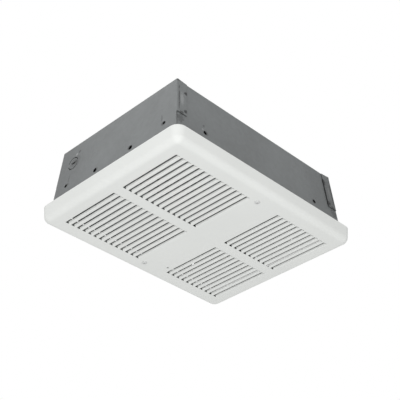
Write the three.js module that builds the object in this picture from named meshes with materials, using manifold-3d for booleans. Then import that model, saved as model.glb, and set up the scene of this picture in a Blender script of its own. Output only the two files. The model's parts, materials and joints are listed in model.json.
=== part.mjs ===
// Ceiling mounted fan heater, modelled as it would come apart on a bench.
// Millimetres, +Z up. The origin is the centre of the ceiling plane: the pressed grille hangs
// below it and the tapered sheet steel box stands above it, between the joists.
// +X runs along the long side, from the intake end to the outlet end. +Y runs along the short side.

import * as THREE from 'three';
import { mergeVertices } from 'three/addons/utils/BufferGeometryUtils.js';
import Module from 'manifold-3d';

const wasm = await Module();
wasm.setup();

// ---------------------------------------------------------------- driving dimensions

// Clearances
const SEAM = 0.3;              // between two sheets, or a piece and its seat
const FAR = 500;               // past every edge, for blocks that cut
const THREAD_GAP = 0.3;        // between a screw and its hole
const RUNNING_GAP = 0.25;      // between the turning shaft and its bearings
const PRESS_GAP = 0.06;        // between the shaft and what is pressed onto it

// Back box
const BOX_LENGTH = 356;        // along X, at the ceiling plane
const BOX_WIDTH = 271.5;       // along Y, at the ceiling plane
const BOX_HEIGHT = 101.3;      // from the ceiling plane to the top
const END_LEAN = 7.5;          // how far each end wall leans in at the top
const SIDE_LEAN = 9.3;         // how far each side wall leans in at the top
const SHEET = 1.0;             // galvanised sheet
const TAB_WIDTH = 19;          // end wall tabs folded round onto the side walls
const TAB_BOTTOM = 36;         // height at which the tabs begin
const TOP_FLANGE = 7;          // width of the flanges under the top
const WELD_RADIUS = 2.4;       // spot weld dimples on the tabs
const WELD_DEPTH = 0.4;
const WELD_FROM_CORNER = 14;
const WELD_FROM_TAB_BOTTOM = 7;
const WELD_FROM_TOP = 21.3;
const SIDE_HOLE_FROM_END = 58; // nailing holes in the side walls
const SIDE_HOLE_Z = 27.5;
const SIDE_HOLE_RADIUS = 3.2;
const END_HOLE_FROM_SIDE = 27.75; // outer nailing holes in the end walls
const END_HOLE_Z = 28;
const END_HOLE_RADIUS = 2.8;
const MID_HOLE_Y = 39;         // inner nailing holes in the end walls
const MID_HOLE_Z = 22;
const MID_HOLE_RADIUS = 3.6;
const KNOCKOUT_Y = 98;         // cable knockout in the intake end wall
const KNOCKOUT_FROM_TOP = 34.3; // down to its centre
const KNOCKOUT_RADIUS = 11.1;
const KNOCKOUT_CUT = 0.7;      // width of the sheared ring
const KNOCKOUT_TIE = 0.32;     // half angle of each uncut tie, radians
const PRY_SLOT_LENGTH = 7;
const PRY_SLOT_WIDTH = 1.8;

// Grille
const GRILLE_OVERLAP_END = 11; // how far the rim stands out past the box
const GRILLE_OVERLAP_SIDE = 13.75; // the same at the sides
const GRILLE_DEPTH = 26;
const GRILLE_SHEET = 1.0;
const GRILLE_CORNER = 15;      // corner radius at the rim
const GRILLE_NOSE = 11;        // rolled edge between the face and the skirt
const GRILLE_DRAFT = 1.5;      // how far the skirt leans in towards the face
const GRILLE_LIP_GAP = 1;      // from the return flange that lies on the ceiling to the box
const LOUVRE_PITCH = 10.8;
const SLOT_WIDTH = 7.4;
const SLOT_MARGIN = 30.1;      // from the rim to the ends of the slots
const SLOT_FROM_CENTRE = 9.2;  // half of the bridge between the front and rear banks
const BANK_MARGIN = 27;        // from the rim to the outermost slot edges
const INTAKE_SLOTS = 14;
const OUTLET_SLOTS = 11;
const BLADE_ANGLE = 46;        // degrees out of the face
const BLADE_WIDTH = 4.6;       // less than its slot, so a gap stays open past its edge
const BLADE_END_GAP = 0.4;
const GRILLE_SCREW_FROM_SIDE = 14.75; // in from the box's side walls
const RESET_X = 38;            // reset button, and the small hole under it
const RESET_Y = 107;
const RESET_HOLE_RADIUS = 1.8;

// Grille brackets
const BRACKET_WIDTH = 24;
const BRACKET_FOOT_Z = 4;
const BRACKET_LEG_TOP = 26;
const BRACKET_FOOT_PAST_SCREW = 11; // how far the foot reaches past its screw

// Blower
const FAN_FROM_END = 96;       // from the intake end wall to the fan axis
const FAN_Y = -28;
const DECK_Z = 16;             // underside of the blower deck
const DECK_FLANGE = 12;
const INLET_STEP = 1.5;        // how much smaller the inlet is than the wheel's eye
const INLET_SIDES = 36;
const NOZZLE_HEIGHT = 6;       // inlet nozzle above the deck's underside
const WHEEL_RADIUS = 60;
const WHEEL_BLADE_DEPTH = 9.5; // of the blade ring
const WHEEL_INLET_GAP = 1.5;   // between the nozzle and the wheel
const WHEEL_BEARING_GAP = 2.4; // between the wheel's hub and the lower bearing
const WHEEL_SHEET = 1.0;
const WHEEL_BLADES = 24;
const WHEEL_SIDES = 48;
const WHEEL_HUB_RADIUS = 8;
const WHEEL_HUB_LENGTH = 12;
const WHEEL_HUB_PROUD = 3;     // above the back plate
const SCROLL_CLEARANCE = 5;    // between the wheel and the tongue
const SCROLL_GROWTH = 19;      // of the radius, from the tongue to the outlet
const SCROLL_START_ANGLE = -40; // degrees, at the tongue
const SCROLL_SWEEP = 310;
const SCROLL_STEPS = 30;
const SCROLL_FLARE = 19;       // how far the tongue side opens towards the divider
const LEAD_NOTCH_WIDTH = 20;
const LEAD_NOTCH_DEPTH = 14;

// Motor, about the fan axis
const SHAFT_RADIUS = 2.5;
const SHAFT_BELOW_HUB = 4;
const SHAFT_PROUD = 1;         // above the upper bearing
const CORE_STACK = 16;
const CORE_NEAR_X = -22;
const CORE_FAR_X = 40;
const CORE_HALF_WIDTH = 26;
const CORE_WINDOW_X = 20.5;
const CORE_WINDOW_HALF = 14;
const CORE_LEG = 8;
const ROTOR_RADIUS = 13.5;
const ROTOR_AIR_GAP = 0.7;
const COIL_BUILD = 9.8;        // thickness of the winding round the leg
const STRAP_HALF_WIDTH = 9;
const STRAP_HALF_LENGTH = 25;
const STRAP_SHEET = 1.5;
const BEARING_RADIUS = 6.5;
const BEARING_HEIGHT = 5;
const MOTOR_SCREW_Y = 20.5;
const HANGER_DROP = 8;         // from the top panel to the motor hanger's web
const HANGER_HALF_WIDTH = 16;
const HANGER_HALF_WEB = 34;
const HANGER_HALF_LENGTH = 52;
const HANGER_SHEET = 1.2;
const RIVET_X = 9;
const RIVET_Y = 46;

// Divider between the intake half and the outlet half
const DIVIDER_X = 16;
const DIVIDER_FOOT = 12;
const SEAL_THICKNESS = 4.4;    // between the divider's foot and the grille
const DIVIDER_SCREW_FROM_SIDE = 45.75; // in from the box's side walls
const SEAL_WIDTH = 12;
const SEAL_END_MARGIN = 19;    // between the seal and each grille screw
const THROAT_BOTTOM = 20;
const THROAT_HEAD = 4;         // of the divider left over the throat
const LEAD_HOLE_FROM_SIDE = 32.75; // holes that the leads pass
const LEAD_HOLE_FROM_TOP = 10;
const LEAD_HOLE_RADIUS = 8.5;

// Heating element and what carries it
const ELEMENT_RADIUS = 3.5;
const ELEMENT_Z = 45;
const ELEMENT_FIRST_X = 45;
const ELEMENT_PITCH = 23;
const ELEMENT_PASSES = 6;
const BEND_PAST_FRONT_SUPPORT = 12; // to the centre of the bends
const BEND_PAST_REAR_SUPPORT = 14; // the same at the rear
const END_PAST_REAR_SUPPORT = 30; // to the element's two ends
const SUPPORT_FRONT_Y = -92;
const SUPPORT_REAR_Y = 62;
const SUPPORT_BEFORE_FIRST_PASS = 9; // how far the supports start before it
const SUPPORT_PAST_LAST_PASS = 6; // how far they reach past it
const SUPPORT_BOTTOM = 36;
const SUPPORT_FLANGE = 12;
const SUPPORT_SCREW_FROM_END = 26; // in from each end of the supports
const BUSHING_RADIUS = 5;
const BUSHING_LENGTH = 9;
const PIN_RADIUS = 1.6;
const PIN_LENGTH = 8;
const DEFLECTOR_LENGTH = 56;   // of the curve, along X
const DEFLECTOR_LEAD = 14;     // flat sheet before the curve
const DEFLECTOR_PAST_SUPPORT = 2; // how far the sheet reaches past the supports
const DEFLECTOR_END_Z = 58;

// Thermal limit with its reset button
const LIMIT_PLATE_Z = 8;
const LIMIT_PLATE_WIDTH = 24;
const LIMIT_PLATE_REACH = 36;
const LIMIT_PLATE_RISE = 14;
const LIMIT_RADIUS = 8.2;
const LIMIT_BLADE_Y = 4;       // terminal blades on top, either side of the can's middle
const LIMIT_BLADE_WIDTH = 4.8;
const LIMIT_BLADE_SHEET = 0.8;
const LIMIT_BLADE_HEIGHT = 8;
const LIMIT_HEIGHT = 11;
const LIMIT_COLLAR_RADIUS = 4.2;
const LIMIT_COLLAR_DROP = 2.5;
const BUTTON_RADIUS = 1.9;
const BUTTON_FLANGE_RADIUS = 3.0;
const BUTTON_DROP = 3.0;       // how far the button stands below its collar
const BUTTON_TRAVEL = 1.5;
const BUTTON_GUIDE_GAP = 0.25;

// Wiring compartment
const COVER_FROM_END = 58;     // from the box's intake end
const COVER_Y = 55;
const COVER_FOOT = 12;
const COVER_SCREW_Y = 75;
const TERMINAL_FROM_END = 18;
const TERMINAL_FROM_KNOCKOUT = 3; // along Y
const TERMINAL_LENGTH = 44;
const TERMINAL_DEPTH = 16;
const TERMINAL_HEIGHT = 9;
const BARRIER_HEIGHT = 5;
const BARRIER_THICKNESS = 2;
const TERMINAL_WAYS = 4;
const GROUND_FROM_END = 38;
const GROUND_Y = 70;
const LEAD_RADIUS = 1.3;
const LEAD_SPACING = 3.8;

// Screws
const SCREW_SIDES = 10;
const DRIVE_DEPTH = 1.1;
const DRIVE_WIDTH = 1.1;
const MACHINE_SCREW = { shank: 1.9, head: 4.1, headHeight: 2.3 };
const SHEET_SCREW = { shank: 1.7, head: 3.9, headHeight: 3.2, washer: 0.7, hex: 3.0 };
const SHEET_SCREW_LENGTH = 5.5;
const DECK_SCREW_FROM_END = 38;
const DECK_SCREW_NEAR_X = -40;
const DECK_SCREW_Z = 10;
const RIVET = { shank: 1.5, head: 3.0, headHeight: 1.1, tail: 2.3, tailHeight: 1.0 };

// ---------------------------------------------------------------- sizes that follow

const HALF_LENGTH = BOX_LENGTH / 2;
const HALF_WIDTH = BOX_WIDTH / 2;
const TOP_INSIDE = BOX_HEIGHT - SHEET;
const UNDER_TOP = TOP_INSIDE - SEAM;
const INSIDE_WALL = -SHEET - SEAM; // how a piece that lies against a wall is shrunk

const WELD_HEIGHTS = [TAB_BOTTOM + WELD_FROM_TAB_BOTTOM, BOX_HEIGHT - WELD_FROM_TOP];
const SIDE_HOLE_X = HALF_LENGTH - SIDE_HOLE_FROM_END;
const END_HOLE_Y = HALF_WIDTH - END_HOLE_FROM_SIDE;
const KNOCKOUT_Z = BOX_HEIGHT - KNOCKOUT_FROM_TOP;

const GRILLE_LENGTH = BOX_LENGTH + 2 * GRILLE_OVERLAP_END;
const GRILLE_WIDTH = BOX_WIDTH + 2 * GRILLE_OVERLAP_SIDE;
const FACE_Z = -GRILLE_DEPTH;
const FACE_BACK_Z = FACE_Z + GRILLE_SHEET;
const SLOT_LENGTH = GRILLE_WIDTH / 2 - SLOT_MARGIN - SLOT_FROM_CENTRE;
const BANK_REACH = GRILLE_LENGTH / 2 - BANK_MARGIN;
const GRILLE_SCREW_Y = HALF_WIDTH - GRILLE_SCREW_FROM_SIDE;
const BRACKET_REACH = GRILLE_SCREW_Y - BRACKET_FOOT_PAST_SCREW;
const GRILLE_SCREW_TOP = BRACKET_FOOT_Z + 8;

const FAN_X = FAN_FROM_END - HALF_LENGTH;
const DECK_TOP = DECK_Z + SHEET;
const DECK_SCREW_X = [DECK_SCREW_FROM_END - HALF_LENGTH, DECK_SCREW_NEAR_X];
const HANGER_Z = TOP_INSIDE - HANGER_DROP;
const CORE_TOP = HANGER_Z - SEAM - STRAP_SHEET - SEAM;
const CORE_BOTTOM = CORE_TOP - CORE_STACK;
const BEARING_LOW = CORE_BOTTOM - SEAM - STRAP_SHEET - BEARING_HEIGHT;
const BEARING_HIGH = CORE_TOP + SEAM + STRAP_SHEET + BEARING_HEIGHT;
const HUB_TOP = BEARING_LOW - WHEEL_BEARING_GAP;
const HUB_BOTTOM = HUB_TOP - WHEEL_HUB_LENGTH;
const WHEEL_TOP = HUB_TOP - WHEEL_HUB_PROUD;
const WHEEL_BOTTOM = DECK_Z + NOZZLE_HEIGHT + WHEEL_INLET_GAP;
const WHEEL_INNER_RADIUS = WHEEL_RADIUS - WHEEL_BLADE_DEPTH;
const INLET_RADIUS = WHEEL_INNER_RADIUS - INLET_STEP;
const SHAFT_BOTTOM = HUB_BOTTOM - SHAFT_BELOW_HUB;
const SHAFT_TOP = BEARING_HIGH + SHAFT_PROUD;
const SCROLL_START_RADIUS = WHEEL_RADIUS + SCROLL_CLEARANCE;
const SCROLL_END_RADIUS = SCROLL_START_RADIUS + SCROLL_GROWTH;
const SCROLL_WALL_FRONT_Y = FAN_Y - SCROLL_END_RADIUS;
const SCROLL_TONGUE = polar(SCROLL_START_RADIUS, degrees(SCROLL_START_ANGLE));
const THROAT_REAR_Y = FAN_Y + SCROLL_TONGUE.y + SCROLL_FLARE;

const DIVIDER_FOOT_Z = FACE_BACK_Z + SEAM + SEAL_THICKNESS + SEAM;
const DIVIDER_SCREW_Y = HALF_WIDTH - DIVIDER_SCREW_FROM_SIDE;
const SEAL_LENGTH = 2 * (GRILLE_SCREW_Y - SEAL_END_MARGIN);
const THROAT_TOP = UNDER_TOP - THROAT_HEAD;
const LEAD_HOLE_Y = HALF_WIDTH - LEAD_HOLE_FROM_SIDE;
const LEAD_HOLE_Z = UNDER_TOP - LEAD_HOLE_FROM_TOP;

const ELEMENT_FRONT_Y = SUPPORT_FRONT_Y - BEND_PAST_FRONT_SUPPORT;
const ELEMENT_REAR_Y = SUPPORT_REAR_Y + BEND_PAST_REAR_SUPPORT;
const ELEMENT_END_Y = SUPPORT_REAR_Y + END_PAST_REAR_SUPPORT;
const ELEMENT_LAST_X = ELEMENT_FIRST_X + (ELEMENT_PASSES - 1) * ELEMENT_PITCH;
const SUPPORT_NEAR_X = ELEMENT_FIRST_X - SUPPORT_BEFORE_FIRST_PASS;
const SUPPORT_FAR_X = ELEMENT_LAST_X + SUPPORT_PAST_LAST_PASS;
const SUPPORT_SCREWS_X = [SUPPORT_NEAR_X + SUPPORT_SCREW_FROM_END, SUPPORT_FAR_X - SUPPORT_SCREW_FROM_END];
const DEFLECTOR_END_X = SUPPORT_FAR_X + DEFLECTOR_PAST_SUPPORT;
const DEFLECTOR_START_X = DEFLECTOR_END_X - DEFLECTOR_LENGTH;

const COVER_X = COVER_FROM_END - HALF_LENGTH;
const TERMINAL_X = TERMINAL_FROM_END - HALF_LENGTH;
const TERMINAL_Y = KNOCKOUT_Y - TERMINAL_FROM_KNOCKOUT;
const GROUND_X = GROUND_FROM_END - HALF_LENGTH;

// ---------------------------------------------------------------- helpers

function degrees(angle) {
  return (angle * Math.PI) / 180;
}

function polar(radius, angle) {
  return new THREE.Vector2(radius * Math.cos(angle), radius * Math.sin(angle));
}

// Turns a closed three.js geometry into a solid that can be cut and joined.
function toSolid(geometry) {
  const bare = geometry.clone();
  bare.deleteAttribute('normal');
  bare.deleteAttribute('uv');
  const merged = mergeVertices(bare, 1e-4);
  const corners = merged.index.array;
  const kept = [];
  for (let i = 0; i < corners.length; i += 3) {
    const [a, b, c] = [corners[i], corners[i + 1], corners[i + 2]];
    if (a !== b && b !== c && c !== a) kept.push(a, b, c);
  }
  return new wasm.Manifold(new wasm.Mesh({
    numProp: 3,
    vertProperties: new Float32Array(merged.attributes.position.array),
    triVerts: new Uint32Array(kept),
  }));
}

function toGeometry(solid) {
  const mesh = solid.getMesh();
  const geometry = new THREE.BufferGeometry();
  geometry.setAttribute('position', new THREE.BufferAttribute(mesh.vertProperties, 3));
  geometry.setIndex(new THREE.BufferAttribute(mesh.triVerts, 1));
  geometry.computeVertexNormals();
  return geometry;
}

function joined(solids) {
  return solids.reduce((whole, solid) => whole.add(solid));
}

function cut(solid, tools) {
  return tools.reduce((rest, tool) => rest.subtract(tool), solid);
}

// A block between two values on each axis.
function block([x0, x1], [y0, y1], [z0, z1]) {
  const geometry = new THREE.BoxGeometry(x1 - x0, y1 - y0, z1 - z0);
  geometry.translate((x0 + x1) / 2, (y0 + y1) / 2, (z0 + z1) / 2);
  return toSolid(geometry);
}

// A round bar from one point to another.
function bar(radius, from, to, sides = 24) {
  const start = new THREE.Vector3(...from);
  const along = new THREE.Vector3(...to).sub(start);
  const geometry = new THREE.CylinderGeometry(radius, radius, along.length(), sides);
  const up = new THREE.Vector3(0, 1, 0);
  geometry.applyQuaternion(new THREE.Quaternion().setFromUnitVectors(up, along.clone().normalize()));
  geometry.translate(...start.add(along.multiplyScalar(0.5)).toArray());
  return toSolid(geometry);
}

// A turned solid about the Z axis, from [radius, height] points.
function turned(profile, sides = 24) {
  const points = profile.map(([radius, height]) => new THREE.Vector2(radius, height));
  const geometry = new THREE.LatheGeometry(points, sides);
  geometry.rotateX(Math.PI / 2);
  const solid = toSolid(geometry);
  if (solid.volume() > 0) return solid;
  return toSolid(flipped(geometry));
}

function flipped(geometry) {
  const copy = geometry.clone();
  const index = copy.index.array;
  for (let i = 0; i < index.length; i += 3) {
    const first = index[i];
    index[i] = index[i + 1];
    index[i + 1] = first;
  }
  return copy;
}

// Extrudes a flat shape: its plane is XY, XZ or YZ, and the axis is the one left over.
function extruded(axis, shape, from, to) {
  const settings = { depth: to - from, bevelEnabled: false, curveSegments: 8 };
  const geometry = new THREE.ExtrudeGeometry(shape, settings);
  if (axis === 'z') geometry.translate(0, 0, from);
  if (axis === 'y') geometry.rotateX(Math.PI / 2).translate(0, to, 0);
  if (axis === 'x') geometry.rotateX(Math.PI / 2).rotateZ(Math.PI / 2).translate(from, 0, 0);
  return toSolid(geometry);
}

// The outline of a thin strip of sheet that follows a line of points.
function stripShape(points, thickness) {
  const normals = points.map((point, i) => {
    const before = points[Math.max(i - 1, 0)];
    const after = points[Math.min(i + 1, points.length - 1)];
    const first = new THREE.Vector2().subVectors(i > 0 ? point : after, i > 0 ? before : point).normalize();
    const last = new THREE.Vector2().subVectors(after, i < points.length - 1 ? point : before).normalize();
    const middle = first.clone().add(last).normalize();
    const mitre = 1 / Math.max(middle.dot(first), 0.5);
    return new THREE.Vector2(-middle.y, middle.x).multiplyScalar((mitre * thickness) / 2);
  });
  const left = points.map((point, i) => point.clone().add(normals[i]));
  const right = points.map((point, i) => point.clone().sub(normals[i])).reverse();
  return new THREE.Shape([...left, ...right].reverse());
}

// A block that leans as the box does, grown or shrunk sideways, between two heights.
function leaningBlock([z0, z1], growX, growY) {
  const geometry = new THREE.BoxGeometry(1, 1, 1);
  const position = geometry.attributes.position;
  for (let i = 0; i < position.count; i += 1) {
    const z = position.getZ(i) < 0 ? z0 : z1;
    const x = halfLengthAt(z) + growX;
    const y = halfWidthAt(z) + growY;
    position.setXYZ(i, Math.sign(position.getX(i)) * x, Math.sign(position.getY(i)) * y, z);
  }
  return toSolid(geometry);
}

// Half the box's outside size at a height.
function halfLengthAt(z) {
  return HALF_LENGTH - (END_LEAN * z) / BOX_HEIGHT;
}

function halfWidthAt(z) {
  return HALF_WIDTH - (SIDE_LEAN * z) / BOX_HEIGHT;
}

// A path through chosen points, for a bar swept along it.
class PointPath extends THREE.Curve {
  constructor(points) {
    super();
    this.points = points;
  }

  getPoint(t) {
    const place = t * (this.points.length - 1);
    const low = Math.min(Math.floor(place), this.points.length - 2);
    return this.points[low].clone().lerp(this.points[low + 1], place - low);
  }

  getPointAt(t) {
    return this.getPoint(t);
  }

  getTangentAt(t) {
    const step = 0.5 / (this.points.length - 1);
    const ahead = this.getPoint(Math.min(t + step, 1));
    return ahead.sub(this.getPoint(Math.max(t - step, 0))).normalize();
  }
}

function sweptBar(points, radius, sides = 8) {
  const section = new THREE.Shape();
  for (let i = 0; i < sides; i += 1) {
    const corner = polar(radius, (2 * Math.PI * i) / sides);
    if (i === 0) section.moveTo(corner.x, corner.y);
    else section.lineTo(corner.x, corner.y);
  }
  const path = new PointPath(points);
  const options = { steps: points.length - 1, bevelEnabled: false, extrudePath: path };
  return toSolid(new THREE.ExtrudeGeometry(section, options));
}

const object = new THREE.Group();
object.name = 'ceiling_fan_heater';

const GALVANISED = { color: 0x8b8f92, roughness: 0.45, metalness: 0.85 };
const BRIGHT_STEEL = { color: 0xb9bcc0, roughness: 0.35, metalness: 0.9 };
const WHITE_ENAMEL = { color: 0xe4e5e3, roughness: 0.5, metalness: 0.0 };
const LAMINATION = { color: 0x4b4d52, roughness: 0.55, metalness: 0.7 };
const COPPER_WINDING = { color: 0x9a4f2c, roughness: 0.5, metalness: 0.4 };
const ELEMENT_SHEATH = { color: 0x5a5450, roughness: 0.6, metalness: 0.6 };
const CERAMIC = { color: 0xe8e2d4, roughness: 0.7, metalness: 0.0 };
const PHENOLIC = { color: 0x26231f, roughness: 0.6, metalness: 0.0 };
const RED_PLASTIC = { color: 0xb3201c, roughness: 0.45, metalness: 0.0 };
const FOAM = { color: 0x2c2d2e, roughness: 0.95, metalness: 0.0 };
const GREEN_STEEL = { color: 0x2e7d46, roughness: 0.45, metalness: 0.5 };
const BLACK_LEAD = { color: 0x1c1c1e, roughness: 0.5, metalness: 0.0 };
const WHITE_LEAD = { color: 0xd9d8d2, roughness: 0.5, metalness: 0.0 };
const RED_LEAD = { color: 0xa8261f, roughness: 0.5, metalness: 0.0 };

function addPiece(parent, name, solid, finish) {
  const material = new THREE.MeshStandardMaterial(finish);
  const mesh = new THREE.Mesh(toGeometry(solid), material);
  mesh.name = name;
  parent.add(mesh);
}

// ---------------------------------------------------------------- back box

function wallHole(axis, side, across, z, radius, sides = 12) {
  const reach = axis === 'x' ? halfLengthAt(z) : halfWidthAt(z);
  const near = side * (reach - 6);
  const far = side * (reach + 6);
  if (axis === 'x') return bar(radius, [near, across, z], [far, across, z], sides);
  return bar(radius, [across, near, z], [across, far, z], sides);
}

function topHole([x, y], radius) {
  return bar(radius, [x, y, UNDER_TOP - 4], [x, y, BOX_HEIGHT + 1], SCREW_SIDES);
}

function topFastenerPlaces() {
  const supports = [SUPPORT_FRONT_Y + SUPPORT_FLANGE / 2, SUPPORT_REAR_Y - SUPPORT_FLANGE / 2];
  return {
    divider: [-1, 1].map((side) => [DIVIDER_X + DIVIDER_FOOT / 2, side * DIVIDER_SCREW_Y]),
    supports: supports.flatMap((y) => SUPPORT_SCREWS_X.map((x) => [x, y])),
    rivets: [-1, 1].flatMap((sx) => [-1, 1].map((sy) => [FAN_X + sx * RIVET_X, FAN_Y + sy * RIVET_Y])),
  };
}

function backBox() {
  const hollow = leaningBlock([-1, TOP_INSIDE], -SHEET, -SHEET);
  const betweenEnds = leaningBlock([-1, BOX_HEIGHT + 1], -SHEET - SEAM, 5);
  const shell = leaningBlock([0, BOX_HEIGHT], 0, 0).subtract(hollow).intersect(betweenEnds);
  const places = topFastenerPlaces();
  const screwPlaces = [...places.divider, ...places.supports];
  const screwHoles = screwPlaces.map((at) => topHole(at, SHEET_SCREW.shank + THREAD_GAP));
  const rivetHoles = places.rivets.map((at) => topHole(at, RIVET.shank + THREAD_GAP));
  const nailHoles = [-1, 1].flatMap((side) => (
    [-1, 1].map((end) => wallHole('y', side, end * SIDE_HOLE_X, SIDE_HOLE_Z, SIDE_HOLE_RADIUS))
  ));
  const deckHoles = [-1, 1].flatMap((side) => (
    DECK_SCREW_X.map((x) => wallHole('y', side, x, DECK_SCREW_Z, SHEET_SCREW.shank + THREAD_GAP, SCREW_SIDES))
  ));
  return cut(shell, [...screwHoles, ...rivetHoles, ...nailHoles, ...deckHoles]);
}

// The sheared ring of a knockout, left whole at two ties, with a slot to pry it by.
function knockoutCuts(end) {
  const ring = new THREE.Shape();
  ring.absarc(0, 0, KNOCKOUT_RADIUS, 0, 2 * Math.PI, false);
  const core = new THREE.Path();
  core.absarc(0, 0, KNOCKOUT_RADIUS - KNOCKOUT_CUT, 0, 2 * Math.PI, true);
  ring.holes.push(core);
  const reach = halfLengthAt(KNOCKOUT_Z);
  const [from, to] = end < 0 ? [-reach - 5, -reach + 5] : [reach - 5, reach + 5];
  const whole = extruded('x', ring, from, to).translate([0, KNOCKOUT_Y, KNOCKOUT_Z]);
  const tie = Math.sin(KNOCKOUT_TIE) * KNOCKOUT_RADIUS;
  const sideways = [KNOCKOUT_Y - KNOCKOUT_RADIUS - 2, KNOCKOUT_Y + KNOCKOUT_RADIUS + 2];
  const ties = block([from - 1, to + 1], sideways, [KNOCKOUT_Z - tie / 2, KNOCKOUT_Z + tie / 2]);
  const slotY = [KNOCKOUT_Y - PRY_SLOT_LENGTH / 2, KNOCKOUT_Y + PRY_SLOT_LENGTH / 2];
  const slotZ = [KNOCKOUT_Z - PRY_SLOT_WIDTH / 2, KNOCKOUT_Z + PRY_SLOT_WIDTH / 2];
  return [whole.subtract(ties), block([from, to], slotY, slotZ)];
}

function endWall(end) {
  const outside = SEAM + SHEET;
  const half = block(end < 0 ? [-FAR, 0] : [0, FAR], [-FAR, FAR], [-FAR, FAR]);
  const beyond = leaningBlock([-2, BOX_HEIGHT + 2], -SHEET, 20);
  const upper = leaningBlock([TAB_BOTTOM, BOX_HEIGHT], 0, outside).subtract(beyond);
  const lower = leaningBlock([0, TAB_BOTTOM + 0.01], 0, 0).subtract(beyond);
  const tabInner = leaningBlock([-2, BOX_HEIGHT + 2], 20, SEAM);
  const tabEnd = leaningBlock([-2, BOX_HEIGHT + 2], -TAB_WIDTH, 20);
  const tabs = leaningBlock([TAB_BOTTOM, BOX_HEIGHT], 0, outside).subtract(tabInner).subtract(tabEnd);
  const flangeTop = UNDER_TOP;
  const flangeInner = leaningBlock([-2, BOX_HEIGHT + 2], -SHEET - TOP_FLANGE, 20);
  const flangeOuter = leaningBlock([flangeTop - SHEET, flangeTop], -SHEET / 2, -SHEET - SEAM);
  const flange = flangeOuter.subtract(flangeInner);
  const whole = joined([upper, lower, tabs, flange]).intersect(half);
  const welds = WELD_HEIGHTS.flatMap((z) => [-1, 1].map((side) => {
    const face = halfWidthAt(z) + outside;
    const x = end * (halfLengthAt(z) - WELD_FROM_CORNER);
    return bar(WELD_RADIUS, [x, side * (face - WELD_DEPTH), z], [x, side * (face + 3), z], 12);
  }));
  const holes = [-1, 1].flatMap((side) => [
    wallHole('x', end, side * END_HOLE_Y, END_HOLE_Z, END_HOLE_RADIUS),
    wallHole('x', end, side * MID_HOLE_Y, MID_HOLE_Z, MID_HOLE_RADIUS),
  ]);
  return cut(whole, [...welds, ...holes, ...(end < 0 ? knockoutCuts(end) : [])]);
}

addPiece(object, 'back_box', backBox(), GALVANISED);
addPiece(object, 'end_wall_intake', endWall(-1), GALVANISED);
addPiece(object, 'end_wall_outlet', endWall(1), GALVANISED);

// ---------------------------------------------------------------- grille

const CORNER_STEPS = 6;
const NOSE_STEPS = 5;

function roundedRectangle(inset, z) {
  const radius = GRILLE_CORNER - inset;
  const centres = [[1, 1], [-1, 1], [-1, -1], [1, -1]];
  return centres.flatMap(([sx, sy], corner) => {
    const points = [];
    for (let step = 0; step <= CORNER_STEPS; step += 1) {
      const around = polar(radius, (Math.PI / 2) * (corner + step / CORNER_STEPS));
      const x = sx * (GRILLE_LENGTH / 2 - GRILLE_CORNER) + around.x;
      const y = sy * (GRILLE_WIDTH / 2 - GRILLE_CORNER) + around.y;
      points.push([x, y, z]);
    }
    return points;
  });
}

// Joins rings of equal count into one closed skin, capped at the first and last ring.
function loft(rings) {
  const count = rings[0].length;
  const positions = rings.flat(2);
  const index = [];
  for (let ring = 0; ring < rings.length - 1; ring += 1) {
    for (let i = 0; i < count; i += 1) {
      const next = (i + 1) % count;
      const [a, b] = [ring * count + i, ring * count + next];
      index.push(a, b, b + count, a, b + count, a + count);
    }
  }
  const last = (rings.length - 1) * count;
  for (let i = 1; i < count - 1; i += 1) {
    index.push(0, i + 1, i);
    index.push(last, last + i, last + i + 1);
  }
  const geometry = new THREE.BufferGeometry();
  geometry.setAttribute('position', new THREE.Float32BufferAttribute(positions, 3));
  geometry.setIndex(index);
  return toSolid(geometry);
}

// The inner edge of the pan's return flange, which keeps a gap from the box on all four sides.
function lipEdge(z) {
  const inset = GRILLE_LENGTH / 2 - HALF_LENGTH - GRILLE_LIP_GAP;
  const narrow = (HALF_WIDTH + GRILLE_LIP_GAP) / (GRILLE_WIDTH / 2 - inset);
  return roundedRectangle(inset, z).map(([x, y]) => [x, y * narrow, z]);
}

function grillePan() {
  const turn = GRILLE_DRAFT + GRILLE_NOSE;
  const rings = [];
  for (let step = 0; step <= NOSE_STEPS; step += 1) {
    const angle = (Math.PI / 2) * (step / NOSE_STEPS);
    const inset = turn - GRILLE_NOSE * Math.sin(angle);
    rings.push(roundedRectangle(inset, FACE_Z + GRILLE_NOSE * (1 - Math.cos(angle))));
  }
  rings.push(roundedRectangle(0, 0));
  rings.push(lipEdge(0));
  rings.push(lipEdge(-GRILLE_SHEET));
  rings.push(roundedRectangle(GRILLE_SHEET, -GRILLE_SHEET));
  const inner = GRILLE_NOSE - GRILLE_SHEET;
  for (let step = NOSE_STEPS; step >= 0; step -= 1) {
    const angle = (Math.PI / 2) * (step / NOSE_STEPS);
    const inset = turn - inner * Math.sin(angle);
    rings.push(roundedRectangle(inset, FACE_Z + GRILLE_NOSE - inner * Math.cos(angle)));
  }
  return loft(rings);
}

// The left edge of each slot of the intake bank, then of the outlet bank.
function slotEdges() {
  const intake = Array.from({ length: INTAKE_SLOTS }, (_, i) => -BANK_REACH + i * LOUVRE_PITCH);
  const last = BANK_REACH - SLOT_WIDTH;
  const outlet = Array.from({ length: OUTLET_SLOTS }, (_, i) => last - i * LOUVRE_PITCH);
  return [...intake, ...outlet.reverse()];
}

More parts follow.
